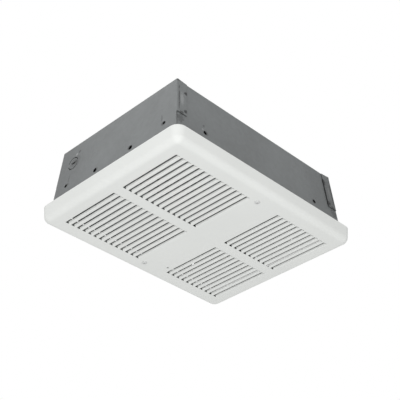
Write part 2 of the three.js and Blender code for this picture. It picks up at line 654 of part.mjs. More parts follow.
// A blade lanced on three sides and bent up about the slot's far edge.
function louvreBlade(edge, side) {
  const root = edge + SLOT_WIDTH;
  const length = SLOT_LENGTH - 2 * BLADE_END_GAP;
  const geometry = new THREE.BoxGeometry(BLADE_WIDTH, length, GRILLE_SHEET);
  geometry.translate(-BLADE_WIDTH / 2 + GRILLE_SHEET / 2, 0, 0);
  geometry.rotateY(degrees(BLADE_ANGLE));
  geometry.translate(root, side * (SLOT_FROM_CENTRE + SLOT_LENGTH / 2), FACE_Z + GRILLE_SHEET / 2);
  return toSolid(geometry);
}

function grille() {
  const slots = [];
  const blades = [];
  for (const edge of slotEdges()) {
    for (const side of [-1, 1]) {
      const ends = [side * SLOT_FROM_CENTRE, side * (SLOT_FROM_CENTRE + SLOT_LENGTH)].sort((a, b) => a - b);
      slots.push(block([edge, edge + SLOT_WIDTH], ends, [FACE_Z - 1, FACE_BACK_Z + 1]));
      blades.push(louvreBlade(edge, side));
    }
  }
  const below = block([-FAR, FAR], [-FAR, FAR], [FACE_Z - 20, FACE_Z]);
  const bladed = joined(blades).subtract(below);
  const screwHoles = [-1, 1].map((side) => {
    const at = [0, side * GRILLE_SCREW_Y];
    return bar(MACHINE_SCREW.shank + THREAD_GAP, [...at, FACE_Z - 1], [...at, FACE_BACK_Z + 1], SCREW_SIDES);
  });
  const resetAt = [RESET_X, RESET_Y];
  const reset = bar(RESET_HOLE_RADIUS, [...resetAt, FACE_Z - 1], [...resetAt, FACE_BACK_Z + 1], 16);
  return cut(grillePan().subtract(joined(slots)).add(bladed), [...screwHoles, reset]);
}

// ---------------------------------------------------------------- screws and rivets

// A cross recessed screw that points up +Z from the underside of its head at the origin.
function screw({ shank, head, headHeight }, length) {
  const dome = headHeight * 0.45;
  const body = turned([
    [0, length],
    [shank * 0.6, length],
    [shank, length - shank],
    [shank, 0],
    [head, 0],
    [head, -dome],
    [head * 0.55, -headHeight],
    [0, -headHeight],
  ], SCREW_SIDES);
  const arm = head * 0.55;
  const low = [-headHeight - 1, -headHeight + DRIVE_DEPTH];
  const thin = [-DRIVE_WIDTH / 2, DRIVE_WIDTH / 2];
  return cut(body, [block([-arm, arm], thin, low), block(thin, [-arm, arm], low)]);
}

// A hex washer head screw that points up +Z from the underside of its washer at the origin.
function hexScrew({ shank, head, headHeight, washer, hex }, length) {
  const stem = bar(shank, [0, 0, -washer / 2], [0, 0, length], SCREW_SIDES);
  const flange = bar(head, [0, 0, -washer], [0, 0, 0], SCREW_SIDES);
  const hexagon = bar(hex, [0, 0, -headHeight], [0, 0, -washer / 2], 6);
  return joined([stem, flange, hexagon]);
}

// A rivet along Z: domed head above the origin, tail below the two sheets.
function rivet(grip) {
  const { shank, head, headHeight, tail, tailHeight } = RIVET;
  return turned([
    [0, headHeight],
    [head * 0.5, headHeight * 0.85],
    [head, 0],
    [shank, 0],
    [shank, -grip],
    [tail, -grip],
    [tail, -grip - tailHeight],
    [0, -grip - tailHeight],
  ], SCREW_SIDES);
}

function placed(solid, at) {
  return solid.translate(at);
}

function pointingDown(solid) {
  return solid.rotate([180, 0, 0]);
}

addPiece(object, 'grille', grille(), WHITE_ENAMEL);
['front', 'rear'].forEach((name, i) => {
  const side = i === 0 ? -1 : 1;
  const shape = screw(MACHINE_SCREW, GRILLE_SCREW_TOP - FACE_Z);
  addPiece(object, `grille_screw_${name}`, placed(shape, [0, side * GRILLE_SCREW_Y, FACE_Z]), WHITE_ENAMEL);
});

// ---------------------------------------------------------------- grille brackets

function grilleBracket(side) {
  const width = [-BRACKET_WIDTH / 2, BRACKET_WIDTH / 2];
  const upright = [BRACKET_FOOT_Z, BRACKET_LEG_TOP];
  const leg = leaningBlock(upright, 0, INSIDE_WALL).subtract(leaningBlock([-2, 200], 9, INSIDE_WALL - SHEET));
  const foot = leaningBlock([BRACKET_FOOT_Z, BRACKET_FOOT_Z + SHEET], 0, INSIDE_WALL);
  const legHere = leg.intersect(block(width, side < 0 ? [-FAR, 0] : [0, FAR], [-FAR, FAR]));
  const reach = side < 0 ? [-FAR, -BRACKET_REACH] : [BRACKET_REACH, FAR];
  const footHere = foot.intersect(block(width, reach, [-FAR, FAR]));
  const at = [0, side * GRILLE_SCREW_Y];
  const radius = MACHINE_SCREW.shank + THREAD_GAP;
  return legHere.add(footHere).subtract(bar(radius, [...at, 0], [...at, 20], SCREW_SIDES));
}

addPiece(object, 'grille_bracket_front', grilleBracket(-1), GALVANISED);
addPiece(object, 'grille_bracket_rear', grilleBracket(1), GALVANISED);

// ---------------------------------------------------------------- blower deck and scroll

function blowerDeck() {
  const beforeDivider = block([-FAR, DIVIDER_X - SEAM], [-FAR, FAR], [-FAR, FAR]);
  const plate = leaningBlock([DECK_Z, DECK_TOP], INSIDE_WALL, INSIDE_WALL);
  const flangeBlock = leaningBlock([DECK_Z - DECK_FLANGE, DECK_TOP], INSIDE_WALL, INSIDE_WALL);
  const flanges = flangeBlock.subtract(leaningBlock([-20, 200], INSIDE_WALL - SHEET, INSIDE_WALL - SHEET));
  const nozzle = turned([
    [INLET_RADIUS, 0],
    [INLET_RADIUS + 3, 0],
    [INLET_RADIUS + 1, SHEET + 2],
    [INLET_RADIUS + 1, NOZZLE_HEIGHT],
    [INLET_RADIUS, NOZZLE_HEIGHT],
    [INLET_RADIUS, 0],
  ], INLET_SIDES).translate([FAN_X, FAN_Y, DECK_Z]);
  const eye = bar(INLET_RADIUS, [FAN_X, FAN_Y, DECK_Z - 1], [FAN_X, FAN_Y, DECK_TOP + 1], INLET_SIDES);
  const centre = [-BRACKET_WIDTH / 2 - SEAM, FAR];
  const bracketGap = [-1, 1].map((side) => (
    block(centre, side < 0 ? [-FAR, -BRACKET_REACH + SEAM] : [BRACKET_REACH - SEAM, FAR], [-9, 40])
  ));
  const holes = [-1, 1].flatMap((side) => (
    DECK_SCREW_X.map((x) => wallHole('y', side, x, DECK_SCREW_Z, SHEET_SCREW.shank + THREAD_GAP, SCREW_SIDES))
  ));
  const coverScrew = [COVER_X + COVER_FOOT / 2, COVER_SCREW_Y];
  const floorHoles = [coverScrew, [GROUND_X, GROUND_Y]].map((at) => (
    bar(SHEET_SCREW.shank + THREAD_GAP, [...at, DECK_Z - 1], [...at, DECK_TOP + 1], SCREW_SIDES)
  ));
  const sheet = plate.add(flanges).intersect(beforeDivider).subtract(eye);
  return cut(sheet.add(nozzle), [...bracketGap, ...holes, ...floorHoles]);
}

function scrollLine() {
  const points = [
    new THREE.Vector2(DIVIDER_X - SEAM, THROAT_REAR_Y),
  ];
  for (let step = 0; step <= SCROLL_STEPS; step += 1) {
    const share = step / SCROLL_STEPS;
    const radius = SCROLL_START_RADIUS + (SCROLL_END_RADIUS - SCROLL_START_RADIUS) * share;
    const around = polar(radius, degrees(SCROLL_START_ANGLE + SCROLL_SWEEP * share));
    points.push(new THREE.Vector2(FAN_X + around.x, FAN_Y + around.y));
  }
  points.push(new THREE.Vector2(DIVIDER_X - SEAM, SCROLL_WALL_FRONT_Y));
  return points;
}

function scrollWall() {
  const wall = extruded('z', stripShape(scrollLine(), SHEET), DECK_TOP + SEAM, UNDER_TOP);
  const notchX = [FAN_X - LEAD_NOTCH_WIDTH / 2, FAN_X + LEAD_NOTCH_WIDTH / 2];
  const notch = block(notchX, [FAN_Y + WHEEL_RADIUS, FAN_Y + 100], [UNDER_TOP - LEAD_NOTCH_DEPTH, 200]);
  const hangerX = [FAN_X - HANGER_HALF_WIDTH - 1, FAN_X + HANGER_HALF_WIDTH + 1];
  const hanger = block(hangerX, [FAN_Y - HANGER_HALF_LENGTH - 1, FAN_Y + HANGER_HALF_LENGTH + 1], [60, 200]);
  return cut(wall, [notch, hanger]);
}

addPiece(object, 'blower_deck', blowerDeck(), GALVANISED);
addPiece(object, 'scroll_wall', scrollWall(), GALVANISED);

// ---------------------------------------------------------------- divider and its seal

function divider() {
  const across = leaningBlock([DIVIDER_FOOT_Z, UNDER_TOP], 0, INSIDE_WALL);
  const web = across.intersect(block([DIVIDER_X, DIVIDER_X + SHEET], [-FAR, FAR], [-FAR, FAR]));
  const feet = [[DIVIDER_FOOT_Z, DIVIDER_FOOT_Z + SHEET], [UNDER_TOP - SHEET, UNDER_TOP]].map((z) => (
    across.intersect(block([DIVIDER_X, DIVIDER_X + DIVIDER_FOOT], [-FAR, FAR], z))
  ));
  const throatY = [SCROLL_WALL_FRONT_Y + SHEET, THROAT_REAR_Y - SHEET];
  const throat = block([DIVIDER_X - 1, DIVIDER_X + SHEET + 1], throatY, [THROAT_BOTTOM, THROAT_TOP]);
  const from = [DIVIDER_X - 1, LEAD_HOLE_Y, LEAD_HOLE_Z];
  const leadHole = bar(LEAD_HOLE_RADIUS, from, [DIVIDER_X + SHEET + 1, LEAD_HOLE_Y, LEAD_HOLE_Z], 16);
  const screwHoles = topFastenerPlaces().divider.map((at) => topHole(at, SHEET_SCREW.shank + THREAD_GAP));
  return cut(joined([web, ...feet]), [throat, leadHole, ...screwHoles]);
}

function dividerSeal() {
  const half = SEAL_LENGTH / 2;
  const z = [FACE_BACK_Z + SEAM, DIVIDER_FOOT_Z - SEAM];
  return block([DIVIDER_X, DIVIDER_X + SEAL_WIDTH], [-half, half], z);
}

addPiece(object, 'divider', divider(), GALVANISED);
addPiece(object, 'divider_seal', dividerSeal(), FOAM);

// ---------------------------------------------------------------- motor and wheel

const fan = new THREE.Group();
fan.position.set(FAN_X, FAN_Y, 0);
object.add(fan);

function rectangle([x0, x1], [y0, y1], Kind = THREE.Shape) {
  const outline = new Kind();
  outline.moveTo(x0, y0);
  outline.lineTo(x1, y0);
  outline.lineTo(x1, y1);
  outline.lineTo(x0, y1);
  outline.closePath();
  return outline;
}

function motorCore() {
  const outline = rectangle([CORE_NEAR_X, CORE_FAR_X], [-CORE_HALF_WIDTH, CORE_HALF_WIDTH]);
  const legX = CORE_FAR_X - CORE_LEG;
  outline.holes.push(rectangle([CORE_WINDOW_X, legX], [-CORE_WINDOW_HALF, CORE_WINDOW_HALF], THREE.Path));
  const stack = extruded('z', outline, CORE_BOTTOM, CORE_TOP);
  const bore = bar(ROTOR_RADIUS + ROTOR_AIR_GAP, [0, 0, CORE_BOTTOM - 1], [0, 0, CORE_TOP + 1], 32);
  const bolts = [-1, 1].map((side) => {
    const at = [0, side * MOTOR_SCREW_Y];
    const radius = MACHINE_SCREW.shank + THREAD_GAP;
    return bar(radius, [...at, CORE_BOTTOM - 1], [...at, CORE_TOP + 1], SCREW_SIDES);
  });
  return cut(stack, [bore, ...bolts]);
}

function motorCoil() {
  const legX = CORE_FAR_X - CORE_LEG;
  const holeX = [legX - SEAM, CORE_FAR_X + SEAM];
  const holeZ = [CORE_BOTTOM - SEAM, CORE_TOP + SEAM];
  const outline = rectangle(
    [holeX[0] - COIL_BUILD, holeX[1] + COIL_BUILD],
    [holeZ[0] - COIL_BUILD * 0.8, holeZ[1] + COIL_BUILD * 0.8],
  );
  outline.holes.push(rectangle(holeX, holeZ, THREE.Path));
  const half = CORE_WINDOW_HALF - 0.5;
  return extruded('y', outline, -half, half);
}

// A strap across the core with a bearing boss that points away from it.
function bearingStrap(upper) {
  const near = upper ? CORE_TOP + SEAM : CORE_BOTTOM - SEAM;
  const away = upper ? 1 : -1;
  const flat = [near, near + away * STRAP_SHEET].sort((a, b) => a - b);
  const strapX = [-STRAP_HALF_WIDTH, STRAP_HALF_WIDTH];
  const strap = block(strapX, [-STRAP_HALF_LENGTH, STRAP_HALF_LENGTH], flat);
  const boss = bar(BEARING_RADIUS, [0, 0, near], [0, 0, near + away * (STRAP_SHEET + BEARING_HEIGHT)], 24);
  const shaftHole = bar(SHAFT_RADIUS + RUNNING_GAP, [0, 0, near - 20], [0, 0, near + 20], 24);
  const bolts = [-1, 1].map((side) => {
    const at = [0, side * MOTOR_SCREW_Y];
    return bar(MACHINE_SCREW.shank + THREAD_GAP, [...at, near - 5], [...at, near + 5], SCREW_SIDES);
  });
  return cut(strap.add(boss), [shaftHole, ...bolts]);
}

// Hat shaped hanger that carries the motor under the top panel.
function motorHanger() {
  const footZ = UNDER_TOP - HANGER_SHEET / 2;
  const webZ = HANGER_Z + HANGER_SHEET / 2;
  const line = [
    [-HANGER_HALF_LENGTH, footZ],
    [-HANGER_HALF_WEB - HANGER_DROP / 2, footZ],
    [-HANGER_HALF_WEB, webZ],
    [HANGER_HALF_WEB, webZ],
    [HANGER_HALF_WEB + HANGER_DROP / 2, footZ],
    [HANGER_HALF_LENGTH, footZ],
  ].map(([y, z]) => new THREE.Vector2(y, z));
  const hat = extruded('x', stripShape(line, HANGER_SHEET), -HANGER_HALF_WIDTH, HANGER_HALF_WIDTH);
  const bossHole = bar(BEARING_RADIUS + 1, [0, 0, HANGER_Z - 5], [0, 0, HANGER_Z + 5], 24);
  const bolts = [-1, 1].map((side) => {
    const at = [0, side * MOTOR_SCREW_Y];
    return bar(MACHINE_SCREW.shank + THREAD_GAP, [...at, HANGER_Z - 5], [...at, HANGER_Z + 5], SCREW_SIDES);
  });
  const rivets = [-1, 1].flatMap((sx) => [-1, 1].map((sy) => {
    const at = [sx * RIVET_X, sy * RIVET_Y];
    return bar(RIVET.shank + THREAD_GAP, [...at, footZ - 5], [...at, footZ + 5], SCREW_SIDES);
  }));
  return cut(hat, [bossHole, ...bolts, ...rivets]);
}

function blowerWheel() {
  const inner = WHEEL_INNER_RADIUS;
  const outer = WHEEL_RADIUS;
  const lines = [inner + 0.5, (inner + outer) / 2, outer - 0.5].map((radius, i) => (
    polar(radius, degrees([0, 1.5, 7][i]))
  ));
  const bladeShape = stripShape(lines, 0.9);
  const blade = extruded('z', bladeShape, WHEEL_BOTTOM + 0.3, WHEEL_TOP - 0.3);
  const spacing = 360 / WHEEL_BLADES;
  const blades = Array.from({ length: WHEEL_BLADES }, (_, i) => blade.rotate([0, 0, spacing * i]));
  const back = bar(outer, [0, 0, WHEEL_TOP - WHEEL_SHEET], [0, 0, WHEEL_TOP], WHEEL_SIDES);
  const ring = turned([
    [inner, WHEEL_BOTTOM],
    [outer, WHEEL_BOTTOM],
    [outer, WHEEL_BOTTOM + WHEEL_SHEET],
    [inner, WHEEL_BOTTOM + WHEEL_SHEET],
    [inner, WHEEL_BOTTOM],
  ], WHEEL_SIDES);
  const hub = bar(WHEEL_HUB_RADIUS, [0, 0, HUB_BOTTOM], [0, 0, HUB_TOP], 16);
  const bore = bar(SHAFT_RADIUS + PRESS_GAP, [0, 0, HUB_BOTTOM - 1], [0, 0, HUB_TOP + 1], 20);
  return joined([back, ring, hub, ...blades]).subtract(bore);
}

function rotor() {
  const body = bar(ROTOR_RADIUS, [0, 0, CORE_BOTTOM], [0, 0, CORE_TOP], 32);
  return body.subtract(bar(SHAFT_RADIUS + PRESS_GAP, [0, 0, CORE_BOTTOM - 1], [0, 0, CORE_TOP + 1], 20));
}

addPiece(fan, 'motor_core', motorCore(), LAMINATION);
addPiece(fan, 'motor_coil', motorCoil(), COPPER_WINDING);
addPiece(fan, 'bearing_strap_lower', bearingStrap(false), BRIGHT_STEEL);
addPiece(fan, 'bearing_strap_upper', bearingStrap(true), BRIGHT_STEEL);
addPiece(fan, 'motor_hanger', motorHanger(), GALVANISED);
addPiece(fan, 'blower_wheel', blowerWheel(), BRIGHT_STEEL);
addPiece(fan, 'motor_shaft', bar(SHAFT_RADIUS, [0, 0, SHAFT_BOTTOM], [0, 0, SHAFT_TOP], 20), BRIGHT_STEEL);
addPiece(fan, 'motor_rotor', rotor(), LAMINATION);
['front', 'rear'].forEach((name, i) => {
  const side = i === 0 ? -1 : 1;
  const seat = CORE_BOTTOM - SEAM - STRAP_SHEET;
  const shape = screw(MACHINE_SCREW, HANGER_Z + 3 - seat);
  addPiece(fan, `motor_screw_${name}`, placed(shape, [0, side * MOTOR_SCREW_Y, seat]), BRIGHT_STEEL);
});

// ---------------------------------------------------------------- heating element

function elementLine() {
  const radius = ELEMENT_PITCH / 2;
  const bendSteps = 6;
  const points = [new THREE.Vector3(ELEMENT_FIRST_X, ELEMENT_END_Y, ELEMENT_Z)];
  for (let pass = 0; pass < ELEMENT_PASSES - 1; pass += 1) {
    const forward = pass % 2 === 0;
    const centre = ELEMENT_FIRST_X + pass * ELEMENT_PITCH + radius;
    const y = forward ? ELEMENT_FRONT_Y : ELEMENT_REAR_Y;
    for (let step = 0; step <= bendSteps; step += 1) {
      const angle = Math.PI * (1 - step / bendSteps);
      const bulge = (forward ? -1 : 1) * radius * Math.sin(angle);
      points.push(new THREE.Vector3(centre + radius * Math.cos(angle), y + bulge, ELEMENT_Z));
    }
  }
  points.push(new THREE.Vector3(ELEMENT_LAST_X, ELEMENT_END_Y, ELEMENT_Z));
  return points;
}

// The space that the outlet end wall's top flange takes.
function endFlangeSpace() {
  const nearX = halfLengthAt(UNDER_TOP) - SHEET - TOP_FLANGE - 1;
  return block([nearX, FAR], [-FAR, FAR], [UNDER_TOP - SHEET - SEAM - 0.5, FAR]);
}

function elementSupport(y, flangeSide) {
  const length = [SUPPORT_NEAR_X, SUPPORT_FAR_X];
  const plate = block(length, [y - SHEET / 2, y + SHEET / 2], [SUPPORT_BOTTOM, UNDER_TOP]);
  const reach = [y, y + flangeSide * SUPPORT_FLANGE].sort((a, b) => a - b);
  const flange = block(length, reach, [UNDER_TOP - SHEET, UNDER_TOP]);
  const holes = Array.from({ length: ELEMENT_PASSES }, (_, i) => {
    const x = ELEMENT_FIRST_X + i * ELEMENT_PITCH;
    return bar(ELEMENT_RADIUS + SEAM, [x, y - 2, ELEMENT_Z], [x, y + 2, ELEMENT_Z], 12);
  });
  const screwHoles = SUPPORT_SCREWS_X.map((x) => (
    topHole([x, y + (flangeSide * SUPPORT_FLANGE) / 2], SHEET_SCREW.shank + THREAD_GAP)
  ));
  return cut(plate.add(flange), [...holes, ...screwHoles, endFlangeSpace()]);
}

function elementTerminal(pass) {
  const x = ELEMENT_FIRST_X + pass * ELEMENT_PITCH;
  const start = ELEMENT_END_Y + SEAM;
  const end = start + BUSHING_LENGTH;
  const bushing = bar(BUSHING_RADIUS, [x, start, ELEMENT_Z], [x, end, ELEMENT_Z], 16);
  return bushing.add(bar(PIN_RADIUS, [x, end - 1, ELEMENT_Z], [x, end + PIN_LENGTH, ELEMENT_Z], 12));
}

function airDeflector() {
  const top = UNDER_TOP - SHEET / 2;
  const radiusZ = top - DEFLECTOR_END_Z;
  const steps = 8;
  const line = [new THREE.Vector2(DEFLECTOR_START_X - DEFLECTOR_LEAD, top)];
  for (let step = 0; step <= steps; step += 1) {
    const angle = (Math.PI / 2) * (step / steps);
    const x = DEFLECTOR_START_X + DEFLECTOR_LENGTH * Math.sin(angle);
    line.push(new THREE.Vector2(x, DEFLECTOR_END_Z + radiusZ * Math.cos(angle)));
  }
  const from = SUPPORT_FRONT_Y + SHEET / 2 + SEAM;
  const to = SUPPORT_REAR_Y - SHEET / 2 - SEAM;
  const sheet = extruded('y', stripShape(line, SHEET), from, to);
  const flangeY = SUPPORT_FLANGE + SEAM;
  const clear = [from - 1, SUPPORT_FRONT_Y + flangeY];
  const clearRear = [SUPPORT_REAR_Y - flangeY, to + 1];
  const underFlange = [UNDER_TOP - SHEET - SEAM - 1.5, 200];
  const reliefs = [clear, clearRear].map((y) => block([0, SUPPORT_FAR_X + SEAM], y, underFlange));
  const tipZ = BOX_HEIGHT - SHEET_SCREW_LENGTH - SEAM;
  const screwTips = topFastenerPlaces().supports.map(([x, y]) => (
    bar(SHEET_SCREW.shank + SEAM, [x, y, tipZ], [x, y, BOX_HEIGHT], SCREW_SIDES)
  ));
  return cut(sheet, [...reliefs, ...screwTips]);
}

addPiece(object, 'heating_element', sweptBar(elementLine(), ELEMENT_RADIUS), ELEMENT_SHEATH);
addPiece(object, 'element_support_front', elementSupport(SUPPORT_FRONT_Y, 1), GALVANISED);
addPiece(object, 'element_support_rear', elementSupport(SUPPORT_REAR_Y, -1), GALVANISED);
addPiece(object, 'element_terminal_near', elementTerminal(0), CERAMIC);
addPiece(object, 'element_terminal_far', elementTerminal(ELEMENT_PASSES - 1), CERAMIC);
addPiece(object, 'air_deflector', airDeflector(), GALVANISED);

// ---------------------------------------------------------------- thermal limit

const LIMIT_SEAT_Z = LIMIT_PLATE_Z + SHEET + SEAM;

function limitBracket() {
  const nearX = DIVIDER_X + SHEET + SEAM;
  const y = [RESET_Y - LIMIT_PLATE_WIDTH / 2, RESET_Y + LIMIT_PLATE_WIDTH / 2];
  const shelf = block([nearX, nearX + LIMIT_PLATE_REACH], y, [LIMIT_PLATE_Z, LIMIT_PLATE_Z + SHEET]);
  const leg = block([nearX, nearX + SHEET], y, [LIMIT_PLATE_Z, LIMIT_PLATE_Z + LIMIT_PLATE_RISE]);
  const radius = LIMIT_COLLAR_RADIUS + SEAM;
  const hole = bar(radius, [RESET_X, RESET_Y, LIMIT_PLATE_Z - 2], [RESET_X, RESET_Y, LIMIT_PLATE_Z + 5], 20);
  return shelf.add(leg).subtract(hole);
}

function limitSwitch() {
  const collarBottom = LIMIT_PLATE_Z - LIMIT_COLLAR_DROP;
  const top = LIMIT_SEAT_Z + LIMIT_HEIGHT;
  const at = [RESET_X, RESET_Y];
  const can = bar(LIMIT_RADIUS, [...at, LIMIT_SEAT_Z], [...at, top], 28);
  const collar = bar(LIMIT_COLLAR_RADIUS, [...at, collarBottom], [...at, LIMIT_SEAT_Z + 1], 20);
  const blades = [-1, 1].map((side) => {
    const y = RESET_Y + side * LIMIT_BLADE_Y;
    return block(
      [RESET_X - LIMIT_BLADE_SHEET / 2, RESET_X + LIMIT_BLADE_SHEET / 2],
      [y - LIMIT_BLADE_WIDTH / 2, y + LIMIT_BLADE_WIDTH / 2],
      [top - 1, top + LIMIT_BLADE_HEIGHT],
    );
  });
  const guideRadius = BUTTON_RADIUS + BUTTON_GUIDE_GAP;
  const guide = bar(guideRadius, [...at, collarBottom - 1], [...at, LIMIT_SEAT_Z + 3], 20);
  const pocketTop = LIMIT_SEAT_Z + 6;
  const pocketLow = collarBottom + 1.2;
  const pocket = bar(BUTTON_FLANGE_RADIUS + BUTTON_GUIDE_GAP, [...at, pocketLow], [...at, pocketTop], 20);
  return cut(joined([can, collar, ...blades]), [guide, pocket]);
}

// The button's flange rests on the collar's lip, and the button moves up when it is pressed.
function resetButton() {
  const collarBottom = LIMIT_PLATE_Z - LIMIT_COLLAR_DROP;
  const flangeLow = collarBottom + 1.2 + SEAM;
  return turned([
    [0, flangeLow + 1.5],
    [BUTTON_FLANGE_RADIUS, flangeLow + 1.5],
    [BUTTON_FLANGE_RADIUS, flangeLow],
    [BUTTON_RADIUS, flangeLow],
    [BUTTON_RADIUS, collarBottom - BUTTON_DROP + 0.6],
    [BUTTON_RADIUS - 0.6, collarBottom - BUTTON_DROP],
    [0, collarBottom - BUTTON_DROP],
  ], 20).translate([RESET_X, RESET_Y, 0]);
}

addPiece(object, 'limit_bracket', limitBracket(), GALVANISED);
addPiece(object, 'thermal_limit', limitSwitch(), PHENOLIC);
addPiece(object, 'reset_button', resetButton(), RED_PLASTIC);

// ---------------------------------------------------------------- wiring compartment

function wiringCover() {
  const low = DECK_TOP + SEAM;
  const rear = halfWidthAt(UNDER_TOP) - SHEET - 4;
  const line = [
    new THREE.Vector2(-halfLengthAt(UNDER_TOP) + SHEET + TOP_FLANGE + 3, COVER_Y),
    new THREE.Vector2(COVER_X, COVER_Y),
    new THREE.Vector2(COVER_X, rear),
  ];
  const walls = extruded('z', stripShape(line, SHEET), low, UNDER_TOP);
  const foot = block([COVER_X - SHEET / 2, COVER_X + COVER_FOOT], [COVER_Y, rear], [low, low + SHEET]);
  const from = [COVER_X - 3, LEAD_HOLE_Y, LEAD_HOLE_Z];
  const leadHole = bar(LEAD_HOLE_RADIUS, from, [COVER_X + 3, LEAD_HOLE_Y, LEAD_HOLE_Z], 16);
  const at = [COVER_X + COVER_FOOT / 2, COVER_SCREW_Y];
  const hole = bar(SHEET_SCREW.shank + THREAD_GAP, [...at, low - 1], [...at, low + 3], SCREW_SIDES);
  return cut(walls.add(foot), [leadHole, hole]);
}

function terminalBlock() {
  const z = DECK_TOP + SEAM;
  const halfX = TERMINAL_DEPTH / 2;
  const halfY = TERMINAL_LENGTH / 2;
  const sideways = [TERMINAL_X - halfX, TERMINAL_X + halfX];
  const base = block(sideways, [TERMINAL_Y - halfY, TERMINAL_Y + halfY], [z, z + TERMINAL_HEIGHT]);
  const spacing = (TERMINAL_LENGTH - BARRIER_THICKNESS) / TERMINAL_WAYS;
  const barriers = Array.from({ length: TERMINAL_WAYS + 1 }, (_, i) => {
    const y = TERMINAL_Y - halfY + i * spacing;
    const height = [z + TERMINAL_HEIGHT - 1, z + TERMINAL_HEIGHT + BARRIER_HEIGHT];
    return block(sideways, [y, y + BARRIER_THICKNESS], height);
  });
  return joined([base, ...barriers]);
}

addPiece(object, 'wiring_cover', wiringCover(), GALVANISED);
addPiece(object, 'terminal_block', terminalBlock(), PHENOLIC);

// ---------------------------------------------------------------- leads

function terminalWay(way) {
  const spacing = (TERMINAL_LENGTH - BARRIER_THICKNESS) / TERMINAL_WAYS;
  const y = TERMINAL_Y - TERMINAL_LENGTH / 2 + BARRIER_THICKNESS / 2 + spacing * (way + 0.5);
  return [TERMINAL_X, y, DECK_TOP + SEAM + TERMINAL_HEIGHT + SEAM];
}

function smoothLine(points, steps) {
  const knots = points.map((point) => new THREE.Vector3(...point));
  const curve = new THREE.CatmullRomCurve3(knots, false, 'centripetal');
  return Array.from({ length: steps + 1 }, (_, i) => curve.getPoint(i / steps));
}

// The leads lie side by side in the order of their terminals.
function leadOffset(way) {
  return (way - (TERMINAL_WAYS - 1) / 2) * LEAD_SPACING;
}

function leadFromTerminal(way) {
  const start = terminalWay(way);
  const y = LEAD_HOLE_Y + leadOffset(way);
  return [
    start,
    [start[0], start[1], start[2] + 18],
    [COVER_X - 16, y, LEAD_HOLE_Z],
    [COVER_X + 10, y, LEAD_HOLE_Z],
  ];
}

function motorLead(way) {
  const lane = way * LEAD_SPACING;
  const coilX = FAN_X + CORE_NEAR_X + 50 + lane;
  const coilFaceY = FAN_Y + CORE_WINDOW_HALF - 0.5 + SEAM;
  const notchX = FAN_X - 3 + lane;
  const overCore = CORE_TOP + LEAD_RADIUS + 2;
  const throughCover = leadFromTerminal(way);
  throughCover[3][1] -= LEAD_SPACING;
  return smoothLine([
    ...throughCover,
    [notchX - 16, 80 + lane, LEAD_HOLE_Z + 1],
    [notchX, 48, LEAD_HOLE_Z + 3],
    [notchX + 12, 22, LEAD_HOLE_Z + 3],
    [coilX, coilFaceY + 12, overCore],
    [coilX, coilFaceY, overCore],
  ], 26);
}

function crossLead(way, ending) {
  const y = LEAD_HOLE_Y + leadOffset(way);
  return smoothLine([
    ...leadFromTerminal(way),
    [DIVIDER_X - 12, y, LEAD_HOLE_Z],
    [DIVIDER_X + 8, y, LEAD_HOLE_Z],
    ...ending,
  ], 26);
}

const LIMIT_TOP = LIMIT_SEAT_Z + LIMIT_HEIGHT + 8;
const PIN_END_Y = ELEMENT_END_Y + SEAM + BUSHING_LENGTH + PIN_LENGTH;
addPiece(object, 'motor_lead_live', sweptBar(motorLead(0), LEAD_RADIUS, 6), BLACK_LEAD);
addPiece(object, 'motor_lead_neutral', sweptBar(motorLead(1), LEAD_RADIUS, 6), WHITE_LEAD);
addPiece(object, 'limit_lead', sweptBar(crossLead(2, [
  [RESET_X - 4, RESET_Y + 4, LIMIT_TOP + 22],
  [RESET_X, RESET_Y + 4, LIMIT_TOP + SEAM],
]), LEAD_RADIUS, 6), RED_LEAD);
addPiece(object, 'element_lead', sweptBar(crossLead(3, [
  [ELEMENT_FIRST_X, PIN_END_Y + 10, ELEMENT_Z + 22],
  [ELEMENT_FIRST_X, PIN_END_Y + 8, ELEMENT_Z],
  [ELEMENT_FIRST_X, PIN_END_Y + SEAM, ELEMENT_Z],
]), LEAD_RADIUS, 6), BLACK_LEAD);

// ---------------------------------------------------------------- remaining fasteners

// The deck screws stand square to the leaning side walls, with their heads inside.
const SIDE_SLOPE = (Math.atan2(SIDE_LEAN, BOX_HEIGHT) * 180) / Math.PI;
[-1, 1].forEach((side, row) => {
  const seat = halfWidthAt(DECK_SCREW_Z) - SHEET - SEAM - SHEET - SEAM / 2;
  DECK_SCREW_X.forEach((x, column) => {
    const shape = hexScrew(SHEET_SCREW, SHEET_SCREW_LENGTH).rotate([side * (SIDE_SLOPE - 90), 0, 0]);
    const name = `deck_screw_${2 * row + column + 1}`;
    addPiece(object, name, placed(shape, [x, side * seat, DECK_SCREW_Z]), BRIGHT_STEEL);
  });
});

function topScrew([x, y]) {
  return placed(pointingDown(hexScrew(SHEET_SCREW, SHEET_SCREW_LENGTH)), [x, y, BOX_HEIGHT]);
}

const tops = topFastenerPlaces();
tops.divider.forEach((at, i) => addPiece(object, `divider_screw_${i + 1}`, topScrew(at), BRIGHT_STEEL));
tops.supports.forEach((at, i) => addPiece(object, `support_screw_${i + 1}`, topScrew(at), BRIGHT_STEEL));
tops.rivets.forEach((at, i) => {
  const grip = SHEET + SEAM + HANGER_SHEET;
  addPiece(object, `hanger_rivet_${i + 1}`, placed(rivet(grip), [...at, BOX_HEIGHT]), BRIGHT_STEEL);
});

const coverScrew = placed(
  pointingDown(hexScrew(SHEET_SCREW, SHEET_SCREW_LENGTH)),
  [COVER_X + COVER_FOOT / 2, COVER_SCREW_Y, DECK_TOP + SEAM + SHEET],
);
addPiece(object, 'cover_screw', coverScrew, BRIGHT_STEEL);
const groundScrew = placed(
  pointingDown(hexScrew(SHEET_SCREW, SHEET_SCREW_LENGTH)),
  [GROUND_X, GROUND_Y, DECK_TOP],
);
addPiece(object, 'ground_screw', groundScrew, GREEN_STEEL);

export default object;
